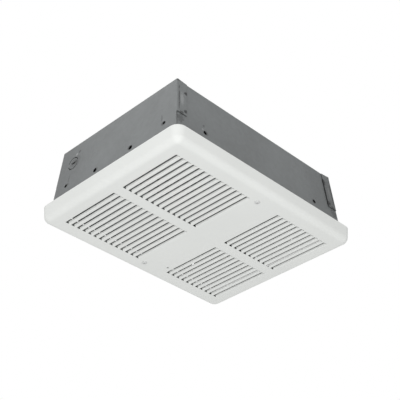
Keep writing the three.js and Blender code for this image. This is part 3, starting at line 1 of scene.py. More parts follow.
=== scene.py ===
"""Ceiling mounted fan heater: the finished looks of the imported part, in the part's own frame.

A white pressed grille hangs below the ceiling plane, and a galvanised sheet steel box stands above it.
Shapes are written in millimetres, and Mould turns them into metres when it makes a mesh.
"""

import json
import logging
import math
from dataclasses import dataclass, field
from enum import Enum
from functools import lru_cache
from typing import Callable, Iterable, Sequence

import bmesh
import bpy
from mathutils import Euler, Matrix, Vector
from mathutils.geometry import delaunay_2d_cdt


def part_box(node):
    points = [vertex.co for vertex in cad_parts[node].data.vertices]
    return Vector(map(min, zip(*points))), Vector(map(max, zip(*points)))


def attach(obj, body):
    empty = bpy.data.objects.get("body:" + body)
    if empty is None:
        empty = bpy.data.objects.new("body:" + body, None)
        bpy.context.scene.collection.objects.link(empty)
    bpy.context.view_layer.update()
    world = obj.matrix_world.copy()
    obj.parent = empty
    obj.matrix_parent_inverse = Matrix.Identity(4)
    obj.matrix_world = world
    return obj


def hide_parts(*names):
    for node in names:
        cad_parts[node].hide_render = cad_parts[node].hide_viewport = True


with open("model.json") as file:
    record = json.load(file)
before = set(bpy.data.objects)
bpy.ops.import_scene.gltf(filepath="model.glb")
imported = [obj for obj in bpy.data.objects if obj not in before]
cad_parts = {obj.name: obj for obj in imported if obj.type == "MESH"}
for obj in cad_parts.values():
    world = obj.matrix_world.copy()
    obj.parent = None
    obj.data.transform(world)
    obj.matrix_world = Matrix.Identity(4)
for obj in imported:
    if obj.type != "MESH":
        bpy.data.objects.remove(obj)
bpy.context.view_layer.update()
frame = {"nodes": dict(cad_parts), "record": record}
LOG = logging.getLogger("fan_heater")

METRES = 0.001  # one millimetre
SHEET = 1.0  # the thickness of the box's and the grille's sheet
SEAM = 0.3  # the gap between one sheet and the next
TOOL_REACH = 6.0  # how far a hole's tool stands out on each side of a sheet
WALL_LEAN = (0.074, 0.0918, 0.0)  # how far the end and side walls lean in for each unit of height

Point = tuple[float, float, float]


class Body(Enum):
    """The bodies that pieces ride on."""

    HOUSING = "housing"
    FAN = "fan"
    BUTTON = "button"


class Slot(Enum):
    """The record's material slots."""

    GALVANISED = "galvanised_sheet"
    ENAMEL = "white_enamel"
    BRIGHT = "bright_steel"
    FOAM = "foam"
    LAMINATIONS = "laminations"
    WINDING = "winding"
    SHEATH = "element_sheath"
    CERAMIC = "ceramic"
    PHENOLIC = "phenolic"
    RED_PLASTIC = "red_plastic"
    GREEN_STEEL = "green_steel"
    BLACK_LEAD = "black_lead"
    WHITE_LEAD = "white_lead"
    RED_LEAD = "red_lead"


class End(Enum):
    """The two ends of the box, with their side of the X axis."""

    INTAKE = -1
    OUTLET = 1


# ---------------- node graphs


class NodeGraph:
    """A node tree with short calls that add, set and join its nodes."""

    def __init__(self, tree: bpy.types.NodeTree) -> None:
        """Wraps a node tree."""
        self.tree = tree

    def feed(self, socket: bpy.types.NodeSocket, value: object) -> None:
        """Links a socket into another, or sets its plain value.

        Args:
            socket: The input that is fed.
            value: An output socket, or a number, vector, colour or data block.
        """
        if isinstance(value, bpy.types.NodeSocket):
            self.tree.links.new(value, socket)
        else:
            socket.default_value = value

    def add(self, kind: str, inputs: dict[str, object] | None = None, **settings: object) -> bpy.types.Node:
        """Adds a node.

        Args:
            kind: The node's type name.
            inputs: What its named inputs are fed with.
            settings: Its own properties.

        Returns:
            The new node.
        """
        node = self.tree.nodes.new(kind)
        for name, value in settings.items():
            setattr(node, name, value)
        for name, value in (inputs or {}).items():
            self.feed(node.inputs[name], value)
        return node

    def place(self) -> bpy.types.NodeSocket:
        """Adds the object's own coordinates and returns their socket."""
        return self.add("ShaderNodeTexCoord").outputs["Object"]

    def noise(self, place: object, scale: object, detail: object) -> bpy.types.Node:
        """Adds a noise at a place and returns its node."""
        return self.add("ShaderNodeTexNoise", {"Vector": place, "Scale": scale, "Detail": detail})

    def math(self, operation: str, *values: object) -> bpy.types.NodeSocket:
        """Adds a math node and returns its result."""
        node = self.tree.nodes.new("ShaderNodeMath")
        node.operation = operation
        for socket, value in zip(node.inputs, values):
            self.feed(socket, value)
        return node.outputs[0]

    def vector_math(self, operation: str, first: object, second: object = None) -> bpy.types.Node:
        """Adds a vector math node and returns it."""
        node = self.tree.nodes.new("ShaderNodeVectorMath")
        node.operation = operation
        self.feed(node.inputs[0], first)
        if second is not None:
            self.feed(node.inputs[1], second)
        return node

    def mix(self, factor: object, first: object, second: object, blend: str = "MIX") -> bpy.types.NodeSocket:
        """Mixes two colours.

        Args:
            factor: The share of the second colour.
            first: The colour at factor 0.
            second: The colour at factor 1.
            blend: How they are blended.

        Returns:
            The mixed colour's socket.
        """
        node = self.tree.nodes.new("ShaderNodeMix")
        node.data_type = "RGBA"
        node.blend_type = blend
        self.feed(node.inputs[0], factor)
        self.feed(node.inputs[6], first)
        self.feed(node.inputs[7], second)
        return node.outputs[2]

    def remap(self, value: object, low: float, high: float, to_low: float = 0.0, to_high: float = 1.0,
              smooth: bool = False) -> bpy.types.NodeSocket:
        """Maps a range of values onto another and stays inside it.

        Args:
            value: The socket that is mapped.
            low: The value that becomes to_low.
            high: The value that becomes to_high.
            to_low: The result's first end.
            to_high: The result's other end.
            smooth: Whether the ends ease in and out.

        Returns:
            The mapped value's socket.
        """
        node = self.tree.nodes.new("ShaderNodeMapRange")
        node.interpolation_type = "SMOOTHSTEP" if smooth else "LINEAR"
        for socket, number in zip(node.inputs, (value, low, high, to_low, to_high)):
            self.feed(socket, number)
        return node.outputs[0]

    def group(self, tree: bpy.types.NodeTree, **inputs: object) -> bpy.types.Node:
        """Places a shader node group and returns its node."""
        node = self.tree.nodes.new("ShaderNodeGroup")
        node.node_tree = tree
        for name, value in inputs.items():
            self.feed(node.inputs[socket_label(name)], value)
        return node


def socket_label(name: str) -> str:
    """The label of the socket that a keyword argument names."""
    return name.replace("_", " ").title()


def open_group(name: str, inputs: dict[str, tuple[str, object]], outputs: dict[str, str],
               kind: str = "ShaderNodeTree") -> tuple[NodeGraph, bpy.types.Node, bpy.types.Node]:
    """Starts a node group with named sockets.

    Args:
        name: The group's name.
        inputs: Each input's name, with its socket type and its starting value or None.
        outputs: Each output's name, with its socket type.
        kind: The kind of tree.

    Returns:
        The graph, its input node and its output node.
    """
    tree = bpy.data.node_groups.new(name, kind)
    for label, (socket_type, value) in inputs.items():
        socket = tree.interface.new_socket(name=label, in_out="INPUT", socket_type=socket_type)
        if value is not None:
            socket.default_value = value
    for label, socket_type in outputs.items():
        tree.interface.new_socket(name=label, in_out="OUTPUT", socket_type=socket_type)
    graph = NodeGraph(tree)
    return graph, graph.add("NodeGroupInput"), graph.add("NodeGroupOutput")


FLOAT = "NodeSocketFloat"
VECTOR = "NodeSocketVector"
INT = "NodeSocketInt"
GEOMETRY = "NodeSocketGeometry"


# ---------------- effects that finishes share


@lru_cache
def grain_group() -> bpy.types.NodeTree:
    """Noise on the object, stretched along its axes: a value from 0 to 1 about a half."""
    graph, given, out = open_group(
        "grain",
        {"Scale": (FLOAT, 100.0), "Stretch": (VECTOR, (1.0, 1.0, 1.0)), "Detail": (FLOAT, 4.0),
         "Contrast": (FLOAT, 0.3)},
        {"Value": FLOAT},
    )
    place = graph.place()
    stretched = graph.vector_math("MULTIPLY", place, given.outputs["Stretch"]).outputs[0]
    noise = graph.noise(stretched, given.outputs["Scale"], given.outputs["Detail"])
    centred = graph.math("SUBTRACT", noise.outputs[0], 0.5)
    spread = graph.math("DIVIDE", centred, given.outputs["Contrast"])
    half = graph.math("MULTIPLY_ADD", spread, 0.5, 0.5)
    graph.feed(out.inputs["Value"], graph.remap(half, 0.0, 1.0))
    return graph.tree


@lru_cache
def edge_group() -> bpy.types.NodeTree:
    """A mask of edges and folds, broken up by noise."""
    graph, given, out = open_group(
        "edges",
        {"Width": (FLOAT, 0.001), "Break Up": (FLOAT, 300.0)},
        {"Mask": FLOAT, "Whole": FLOAT},
    )
    rounded = graph.add("ShaderNodeBevel", {"Radius": given.outputs["Width"]}, samples=6)
    straight = graph.add("ShaderNodeNewGeometry")
    along = graph.vector_math("DOT_PRODUCT", rounded.outputs[0], straight.outputs["Normal"]).outputs["Value"]
    edge = graph.remap(graph.math("SUBTRACT", 1.0, along), 0.02, 0.22)
    place = graph.place()
    noise = graph.noise(place, given.outputs["Break Up"], 3.0)
    broken = graph.remap(noise.outputs[0], 0.42, 0.6)
    graph.feed(out.inputs["Mask"], graph.math("MULTIPLY", edge, broken))
    graph.feed(out.inputs["Whole"], edge)
    return graph.tree


@lru_cache
def dust_group() -> bpy.types.NodeTree:
    """A mask of what settles on faces that look up."""
    graph, given, out = open_group(
        "dust", {"Amount": (FLOAT, 0.5), "Scale": (FLOAT, 60.0)}, {"Mask": FLOAT},
    )
    normal = graph.add("ShaderNodeNewGeometry").outputs["Normal"]
    upward = graph.add("ShaderNodeSeparateXYZ", {"Vector": normal}).outputs["Z"]
    facing = graph.remap(upward, 0.4, 1.0, smooth=True)
    place = graph.place()
    noise = graph.noise(place, given.outputs["Scale"], 6.0)
    patches = graph.remap(noise.outputs[0], 0.35, 0.7)
    lying = graph.math("MULTIPLY", facing, patches)
    graph.feed(out.inputs["Mask"], graph.math("MULTIPLY", lying, given.outputs["Amount"]))
    return graph.tree


@lru_cache
def spangle_group() -> bpy.types.NodeTree:
    """The crystals of hot dip zinc: a tone for each, and how far each point is from its crystal's middle."""
    graph, given, out = open_group(
        "spangle", {"Scale": (FLOAT, 120.0), "Warp": (FLOAT, 0.3)}, {"Tone": FLOAT, "Height": FLOAT},
    )
    place = graph.place()
    drift = graph.noise(place, given.outputs["Scale"], 2.0)
    shift = graph.vector_math("SCALE", drift.outputs["Color"])
    graph.feed(shift.inputs["Scale"], graph.math("DIVIDE", given.outputs["Warp"], given.outputs["Scale"]))
    warped = graph.vector_math("ADD", place, shift.outputs[0]).outputs[0]
    cells = graph.add("ShaderNodeTexVoronoi", {"Vector": warped, "Scale": given.outputs["Scale"]})
    tone = graph.add("ShaderNodeSeparateColor", {"Color": cells.outputs["Color"]}).outputs[0]
    graph.feed(out.inputs["Tone"], tone)
    graph.feed(out.inputs["Height"], cells.outputs["Distance"])
    return graph.tree


# The spot mask for dirt, wear, painted shade and painted highlights alike.
@lru_cache
def stain_and_shade_spot_group() -> bpy.types.NodeTree:
    """A soft uneven spot at the four corners of the box, or only at the corner that Side points to.

    Its centre is measured on a box with upright walls: the lean of the real walls is taken out first.
    """
    graph, given, out = open_group(
        "smudge",
        {"Centre": (VECTOR, (0.0, 0.0, 0.0)), "Reach": (VECTOR, (0.005, 0.005, 0.005)),
         "Uneven": (FLOAT, 1.6), "Lean": (VECTOR, WALL_LEAN), "Side": (VECTOR, (0.0, 0.0, 0.0))},
        {"Mask": FLOAT},
    )
    place = graph.place()
    mirrored = graph.vector_math("ABSOLUTE", place).outputs[0]
    height = graph.add("ShaderNodeSeparateXYZ", {"Vector": place}).outputs["Z"]
    lean = graph.vector_math("SCALE", given.outputs["Lean"])
    graph.feed(lean.inputs["Scale"], height)
    upright = graph.vector_math("ADD", mirrored, lean.outputs[0]).outputs[0]
    away = graph.vector_math("SUBTRACT", upright, given.outputs["Centre"]).outputs[0]
    scaled = graph.vector_math("DIVIDE", away, given.outputs["Reach"]).outputs[0]
    distance = graph.vector_math("LENGTH", scaled).outputs["Value"]
    noise = graph.noise(place, 330.0, 4.0)
    drift = graph.math("MULTIPLY", graph.math("SUBTRACT", noise.outputs[0], 0.5), given.outputs["Uneven"])
    spot = graph.remap(graph.math("ADD", distance, drift), 0.4, 1.0, 1.0, 0.0, smooth=True)
    sides = graph.vector_math("MULTIPLY", place, given.outputs["Side"]).outputs[0]
    signs = graph.add("ShaderNodeSeparateXYZ", {"Vector": sides})
    here = graph.math("GREATER_THAN", graph.math("MINIMUM", signs.outputs["X"], signs.outputs["Y"]), -0.0001)
    graph.feed(out.inputs["Mask"], graph.math("MULTIPLY", spot, here))
    return graph.tree


# ---------------- finishes

Colour = tuple[float, float, float]


def rgba(colour: Colour) -> tuple[float, float, float, float]:
    """A colour with full alpha."""
    return (*colour, 1.0)


@dataclass(frozen=True)
class Finish:
    """What a surface is made of. Each kind of finish builds its own nodes."""

    name: str
    slot: Slot

    def build(self, graph: NodeGraph, shader: bpy.types.Node) -> None:
        """Adds the nodes that feed the shader; each kind of finish says how."""
        raise NotImplementedError


@lru_cache(maxsize=None)
def material_of(finish: Finish) -> bpy.types.Material:
    """Makes a finish's material.

    Args:
        finish: The finish.

    Returns:
        The material, the same one each time.
    """
    material = bpy.data.materials.new(finish.name)
    material.use_nodes = True
    material.node_tree.nodes.clear()
    graph = NodeGraph(material.node_tree)
    shader = graph.add("ShaderNodeBsdfPrincipled")
    output = graph.add("ShaderNodeOutputMaterial")
    graph.tree.links.new(shader.outputs[0], output.inputs["Surface"])
    finish.build(graph, shader)
    return material


def add_bump(graph: NodeGraph, shader: bpy.types.Node, layers: Iterable[tuple[object, float, float]]) -> None:
    """Stacks bumps and feeds the shader's normal.

    Args:
        graph: The material's graph.
        shader: The shader.
        layers: Each bump's height socket, strength and distance in metres.
    """
    normal = None
    for height, strength, distance in layers:
        bump = graph.add("ShaderNodeBump", {"Height": height, "Strength": strength, "Distance": distance})
        if normal is not None:
            graph.feed(bump.inputs["Normal"], normal)
        normal = bump.outputs[0]
    graph.feed(shader.inputs["Normal"], normal)


@dataclass(frozen=True)
class PowderCoat(Finish):
    """Baked powder coat: a satin skin with a fine orange peel and faint handling marks."""

    colour: Colour = (0.795, 0.81, 0.79)
    shade: Colour = (0.735, 0.75, 0.73)
    peel: float = 0.06
    thin: Colour = (0.66, 0.665, 0.66)
    dust: Colour = (0.52, 0.5, 0.46)

    def build(self, graph: NodeGraph, shader: bpy.types.Node) -> None:
        """Feeds colour, roughness and the peel."""
        broad = graph.group(grain_group(), scale=9.0, detail=2.0, contrast=0.25).outputs[0]
        fine = graph.group(grain_group(), scale=420.0, detail=3.0, contrast=0.3).outputs[0]
        peel = graph.group(grain_group(), scale=760.0, detail=1.0, contrast=0.3).outputs[0]
        edges = graph.group(edge_group(), width=0.0012, break_up=500.0)
        dust = graph.group(dust_group(), amount=0.35, scale=70.0).outputs[0]
        tone = graph.math("MULTIPLY_ADD", fine, 0.25, graph.math("MULTIPLY", broad, 0.5))
        base = graph.mix(tone, rgba(self.colour), rgba(self.shade))
        thin = graph.mix(graph.math("MULTIPLY", edges.outputs["Mask"], 0.35), base, rgba(self.thin))
        dusty = graph.mix(dust, thin, rgba(self.dust))
        graph.feed(shader.inputs["Base Color"], dusty)
        graph.feed(shader.inputs["Roughness"], graph.remap(fine, 0.0, 1.0, 0.5, 0.62))
        add_bump(graph, shader, [(peel, self.peel, 0.0004), (fine, 0.04, 0.0002)])


@dataclass(frozen=True)
class StainAndShade:
    """A worn or dirty spot, a spot of painted shade or a painted highlight, placed as on a box with upright
    walls.

    It is on all four corners, or where side is given only on the corner with those signs of X and Y.
    """

    centre: Point
    reach: Point
    strength: float
    colour: Colour
    uneven: float = 1.6
    side: Point = (0.0, 0.0, 0.0)


# The dark colour paints dirt and painted shade; the light one paints bare metal and painted highlights.
DARK_DIRT_AND_SHADE: Colour = (0.028, 0.029, 0.029)
BARE_METAL_AND_HIGHLIGHT: Colour = (0.34, 0.35, 0.35)
NEAR_END = (-1.0, -1.0, 0.0)
FAR_END = (1.0, -1.0, 0.0)
KNOCKOUT_END = (-1.0, 1.0, 0.0)
# Spots of dirt, wear, painted shade and painted highlight on the box's sheet, each group named above it.
STAINS_AND_PAINTED_SHADE = (
    # On each tab: dark weld dimples, painted shade along the folded edge and a painted highlight on its
    # middle.
    StainAndShade((160.6, 137.0, 80.0), (4.4, 6.0, 4.6), 0.9, DARK_DIRT_AND_SHADE, 1.0),
    StainAndShade((161.4, 137.0, 43.5), (4.4, 6.0, 4.6), 0.85, DARK_DIRT_AND_SHADE, 1.0),
    StainAndShade((174.2, 137.0, 66.0), (1.3, 3.0, 32.0), 0.85, DARK_DIRT_AND_SHADE, 1.8),
    StainAndShade((168.4, 137.0, 65.0), (4.4, 6.0, 17.0), 0.5, BARE_METAL_AND_HIGHLIGHT, 1.2),
    # Painted shade below each tab, a painted shadow at its foot, and painted shade at the top of the corner.
    StainAndShade((171.0, 136.0, 27.0), (9.0, 6.0, 9.0), 0.45, DARK_DIRT_AND_SHADE, 2.6),
    StainAndShade((169.0, 137.0, 38.0), (6.0, 6.0, 2.6), 0.8, DARK_DIRT_AND_SHADE, 2.2),
    StainAndShade((176.0, 137.0, 99.5), (3.6, 3.4, 2.8), 0.7, DARK_DIRT_AND_SHADE, 1.5),
    # Painted shade round the nailing holes of the end walls and the side walls.
    StainAndShade((178.0, 108.0, 28.0), (6.0, 4.8, 4.8), 0.6, DARK_DIRT_AND_SHADE, 0.8),
    StainAndShade((178.0, 106.0, 39.0), (6.0, 2.4, 9.0), 0.35, DARK_DIRT_AND_SHADE, 1.6),
    StainAndShade((178.0, 39.0, 22.0), (6.0, 5.6, 5.6), 0.55, DARK_DIRT_AND_SHADE, 0.8),
    StainAndShade((120.0, 137.0, 27.5), (5.0, 6.0, 5.0), 0.5, DARK_DIRT_AND_SHADE, 0.9),
    # Scratches near the front nailing hole, and a run on the intake end wall.
    StainAndShade((127.0, 137.0, 31.5), (3.0, 6.0, 2.6), 0.55, BARE_METAL_AND_HIGHLIGHT, 1.2, NEAR_END),
    StainAndShade((124.5, 137.0, 39.0), (2.6, 6.0, 3.6), 0.5, DARK_DIRT_AND_SHADE, 1.4, NEAR_END),
    StainAndShade((178.0, 2.0, 48.0), (6.0, 1.6, 6.5), 0.35, DARK_DIRT_AND_SHADE, 0.8, NEAR_END),
    # On the outlet tab: a painted shadow at its free edge, dark dimples, and painted shade along its fold and
    # over all of it.
    StainAndShade((158.8, 137.0, 63.0), (1.5, 6.0, 36.0), 0.9, DARK_DIRT_AND_SHADE, 0.6, FAR_END),
    StainAndShade((160.0, 137.0, 85.0), (4.6, 6.0, 5.6), 0.9, DARK_DIRT_AND_SHADE, 1.0, FAR_END),
    StainAndShade((161.0, 137.0, 42.0), (6.0, 6.0, 6.0), 0.9, DARK_DIRT_AND_SHADE, 1.2, FAR_END),
    StainAndShade((178.0, 137.0, 60.0), (3.4, 6.0, 44.0), 0.8, DARK_DIRT_AND_SHADE, 0.8, FAR_END),
    StainAndShade((168.0, 137.0, 60.0), (16.0, 6.0, 44.0), 0.3, DARK_DIRT_AND_SHADE, 1.6, FAR_END),
    # The shaded far ends of the two walls in view.
    StainAndShade((178.0, 137.0, 55.0), (95.0, 12.0, 120.0), 0.2, DARK_DIRT_AND_SHADE, 0.5, FAR_END),
    StainAndShade((178.0, 137.0, 55.0), (9.0, 100.0, 120.0), 0.12, DARK_DIRT_AND_SHADE, 0.5, KNOCKOUT_END),
    # On the knockout: painted shade in the pry slot, dirt on the disc, a painted highlight on the dimple
    # above it and a dark mark beside that.
    StainAndShade((178.0, 98.0, 67.0), (6.0, 7.0, 4.4), 0.75, DARK_DIRT_AND_SHADE, 1.2, KNOCKOUT_END),
    StainAndShade((178.0, 98.0, 67.0), (6.0, 15.0, 15.0), 0.3, DARK_DIRT_AND_SHADE, 1.8, KNOCKOUT_END),
    StainAndShade((178.0, 98.9, 81.5), (6.0, 3.4, 3.0), 0.8, BARE_METAL_AND_HIGHLIGHT, 0.7, KNOCKOUT_END),
    StainAndShade((178.0, 92.5, 83.5), (6.0, 3.4, 3.4), 0.6, DARK_DIRT_AND_SHADE, 1.0, KNOCKOUT_END),
)


@dataclass(frozen=True)
class Galvanised(Finish):
    """Mill galvanised sheet: small spangle, rolling lines, dull dirty spots, spots of painted shade and
    painted highlight, and painted shade along its edges and folds.
    """

    bright: Colour = (0.2, 0.212, 0.214)
    dull: Colour = (0.155, 0.162, 0.163)
    shade: Colour = (0.05, 0.052, 0.052)
    dust: Colour = (0.24, 0.235, 0.22)
    metallic: float = 0.35
    stains_and_shade: tuple[StainAndShade, ...] = ()

    def build(self, graph: NodeGraph, shader: bpy.types.Node) -> None:
        """Feeds colour, roughness and bump, with the listed spots of dirt, wear, painted shade and painted
        highlight.
        """
        spangle = graph.group(spangle_group(), scale=170.0, warp=0.6)
        rolled = graph.group(grain_group(), scale=60.0, stretch=(0.12, 0.12, 6.0), detail=5.0, contrast=0.3)
        cloud = graph.group(grain_group(), scale=11.0, detail=4.0, contrast=0.25).outputs[0]
        scuff = graph.group(grain_group(), scale=90.0, detail=6.0, contrast=0.3)
        tone = graph.math("MULTIPLY_ADD", spangle.outputs["Tone"], 0.25, graph.math("MULTIPLY", cloud, 0.7))
        tone = graph.math("MULTIPLY_ADD", rolled.outputs[0], 0.05, tone)
        base = graph.mix(tone, rgba(self.dull), rgba(self.bright))
        # Each listed spot is dirt, wear, painted shade or a painted highlight, as the list's comments say.
        for stain_and_shade in self.stains_and_shade:
            spot = graph.group(
                stain_and_shade_spot_group(),
                centre=tuple(c * METRES for c in stain_and_shade.centre),
                reach=tuple(c * METRES for c in stain_and_shade.reach),
                uneven=stain_and_shade.uneven,
                side=stain_and_shade.side,
            ).outputs[0]
            base = graph.mix(graph.math("MULTIPLY", spot, stain_and_shade.strength), base, rgba(stain_and_shade.colour))
        # Painted shade along every edge and fold, mixed towards the shade colour.
        edges = graph.group(edge_group(), width=0.0016, break_up=240.0)
        base = graph.mix(graph.math("MULTIPLY", edges.outputs["Whole"], 0.5), base, rgba(self.shade))
        dust = graph.group(dust_group(), amount=0.3, scale=45.0).outputs[0]
        base = graph.mix(dust, base, rgba(self.dust))
        graph.feed(shader.inputs["Base Color"], base)
        shader.inputs["Metallic"].default_value = self.metallic
        graph.feed(shader.inputs["Roughness"], graph.remap(scuff.outputs[0], 0.0, 1.0, 0.55, 0.64))
        add_bump(graph, shader, [
            (spangle.outputs["Height"], 0.06, 0.0004),
            (rolled.outputs[0], 0.02, 0.0003),
            (cloud, 0.15, 0.0012),
        ])


@dataclass(frozen=True)
class Plain(Finish):
    """A solid stuff with a grain of its own, for the pieces inside the box."""

    colour: Colour
    second: Colour
    roughness: tuple[float, float] = (0.4, 0.6)
    metallic: float = 0.0
    scale: float = 200.0
    stretch: Point = (1.0, 1.0, 1.0)
    relief: float = 0.1
    worn: Colour = (0.5, 0.5, 0.5)
    wear: float = 0.3
    dust: Colour = (0.4, 0.38, 0.35)

    def build(self, graph: NodeGraph, shader: bpy.types.Node) -> None:
        """Feeds a two tone colour, worn edges, dust and a fine relief."""
        grain = graph.group(grain_group(), scale=self.scale, stretch=self.stretch, detail=5.0).outputs[0]
        cloud = graph.group(grain_group(), scale=self.scale / 8, detail=3.0).outputs[0]
        tone = graph.math("MULTIPLY_ADD", grain, 0.6, graph.math("MULTIPLY", cloud, 0.4))
        base = graph.mix(tone, rgba(self.colour), rgba(self.second))
        edges = graph.group(edge_group(), width=0.0006, break_up=600.0)
        base = graph.mix(graph.math("MULTIPLY", edges.outputs["Mask"], self.wear), base, rgba(self.worn))
        dust = graph.group(dust_group(), amount=0.25, scale=90.0).outputs[0]
        base = graph.mix(dust, base, rgba(self.dust))
        graph.feed(shader.inputs["Base Color"], base)
        shader.inputs["Metallic"].default_value = self.metallic
        graph.feed(shader.inputs["Roughness"], graph.remap(tone, 0.0, 1.0, *self.roughness))
        add_bump(graph, shader, [(grain, self.relief, 0.0003)])


ENAMEL = PowderCoat("powder_coat", Slot.ENAMEL)
# The grille's coat made darker for the screw heads: painted shade that tones down the light on their domes.
SCREW_COAT_PAINTED_SHADE = PowderCoat("screw_paint", Slot.ENAMEL, (0.62, 0.63, 0.62), (0.54, 0.55, 0.545), 0.03)
ZINC = Galvanised("galvanised_sheet", Slot.GALVANISED)
# The box's sheet, with its spots of dirt, painted shade and painted highlight.
BOX_ZINC_STAINED_AND_SHADED = Galvanised("galvanised_box_sheet", Slot.GALVANISED, stains_and_shade=STAINS_AND_PAINTED_SHADE)
# Darker zinc for the parts beside the element: painted shade for what is seen through the outlet slots.
INNER_ZINC_PAINTED_SHADE = Galvanised(
    "heated_sheet", Slot.GALVANISED, bright=(0.1, 0.1, 0.095), dull=(0.062, 0.06, 0.057),
    shade=(0.03, 0.028, 0.026), dust=(0.2, 0.19, 0.17), metallic=0.4)
BRIGHT = Plain(
    "zinc_plated_steel", Slot.BRIGHT, (0.52, 0.53, 0.55), (0.62, 0.62, 0.61), (0.28, 0.42),
    metallic=0.9, scale=500.0, stretch=(1.0, 1.0, 0.2), relief=0.05, worn=(0.75, 0.75, 0.75))
FOAM = Plain(
    "closed_cell_foam", Slot.FOAM, (0.022, 0.022, 0.024), (0.05, 0.05, 0.052), (0.85, 1.0),
    scale=900.0, relief=0.8, worn=(0.06, 0.06, 0.06))
LAMINATIONS = Plain(
    "electrical_steel", Slot.LAMINATIONS, (0.06, 0.065, 0.075), (0.1, 0.1, 0.105), (0.4, 0.6),
    metallic=0.7, scale=30.0, stretch=(1.0, 1.0, 60.0), relief=0.9, worn=(0.3, 0.3, 0.3))
WINDING = Plain(
    "varnished_winding", Slot.WINDING, (0.30, 0.09, 0.03), (0.16, 0.045, 0.02), (0.25, 0.4),
    metallic=0.6, scale=30.0, stretch=(1.0, 40.0, 1.0), relief=0.9, worn=(0.5, 0.2, 0.08))
SHEATH = Plain(
    "heated_sheath", Slot.SHEATH, (0.11, 0.095, 0.085), (0.06, 0.055, 0.06), (0.45, 0.65),
    metallic=0.7, scale=120.0, relief=0.2, worn=(0.25, 0.2, 0.16))
CERAMIC = Plain(
    "unglazed_ceramic", Slot.CERAMIC, (0.78, 0.74, 0.64), (0.68, 0.63, 0.52), (0.7, 0.85),
    scale=300.0, relief=0.2, worn=(0.85, 0.82, 0.75))
PHENOLIC = Plain(
    "moulded_phenolic", Slot.PHENOLIC, (0.02, 0.018, 0.016), (0.035, 0.03, 0.027), (0.4, 0.55),
    scale=400.0, relief=0.15, worn=(0.1, 0.09, 0.08))
RED_PLASTIC = Plain(
    "button_red", Slot.RED_PLASTIC, (0.42, 0.02, 0.015), (0.36, 0.018, 0.012), (0.3, 0.42),
    scale=500.0, relief=0.05, worn=(0.55, 0.12, 0.1))
GREEN_STEEL = Plain(
    "green_dyed_zinc", Slot.GREEN_STEEL, (0.03, 0.2, 0.07), (0.05, 0.27, 0.1), (0.3, 0.45),
    metallic=0.6, scale=500.0, relief=0.08, worn=(0.5, 0.52, 0.5), wear=0.6)


def insulation(name: str, slot: Slot, colour: Colour, second: Colour, worn: Colour) -> Plain:
    """The finish of a lead's plastic skin, in its colours."""
    return Plain(name, slot, colour, second, (0.4, 0.5), scale=300.0, relief=0.06, worn=worn)


BLACK_LEAD = insulation("black_insulation", Slot.BLACK_LEAD, (0.012, 0.012, 0.013), (0.025, 0.025, 0.026),
                        (0.06, 0.06, 0.06))
WHITE_LEAD = insulation("white_insulation", Slot.WHITE_LEAD, (0.66, 0.65, 0.6), (0.58, 0.57, 0.52),
                        (0.7, 0.7, 0.66))
RED_LEAD = insulation("red_insulation", Slot.RED_LEAD, (0.36, 0.02, 0.015), (0.28, 0.016, 0.012),
                      (0.5, 0.1, 0.08))
# The parts that get the darker zinc of painted shade.
PAINTED_SHADE_NODES = ("air_deflector", "element_support_front", "element_support_rear")
FINISHES = (ENAMEL, ZINC, BRIGHT, FOAM, LAMINATIONS, WINDING, SHEATH, CERAMIC, PHENOLIC, RED_PLASTIC,
            GREEN_STEEL, BLACK_LEAD, WHITE_LEAD, RED_LEAD)


# ---------------- meshes


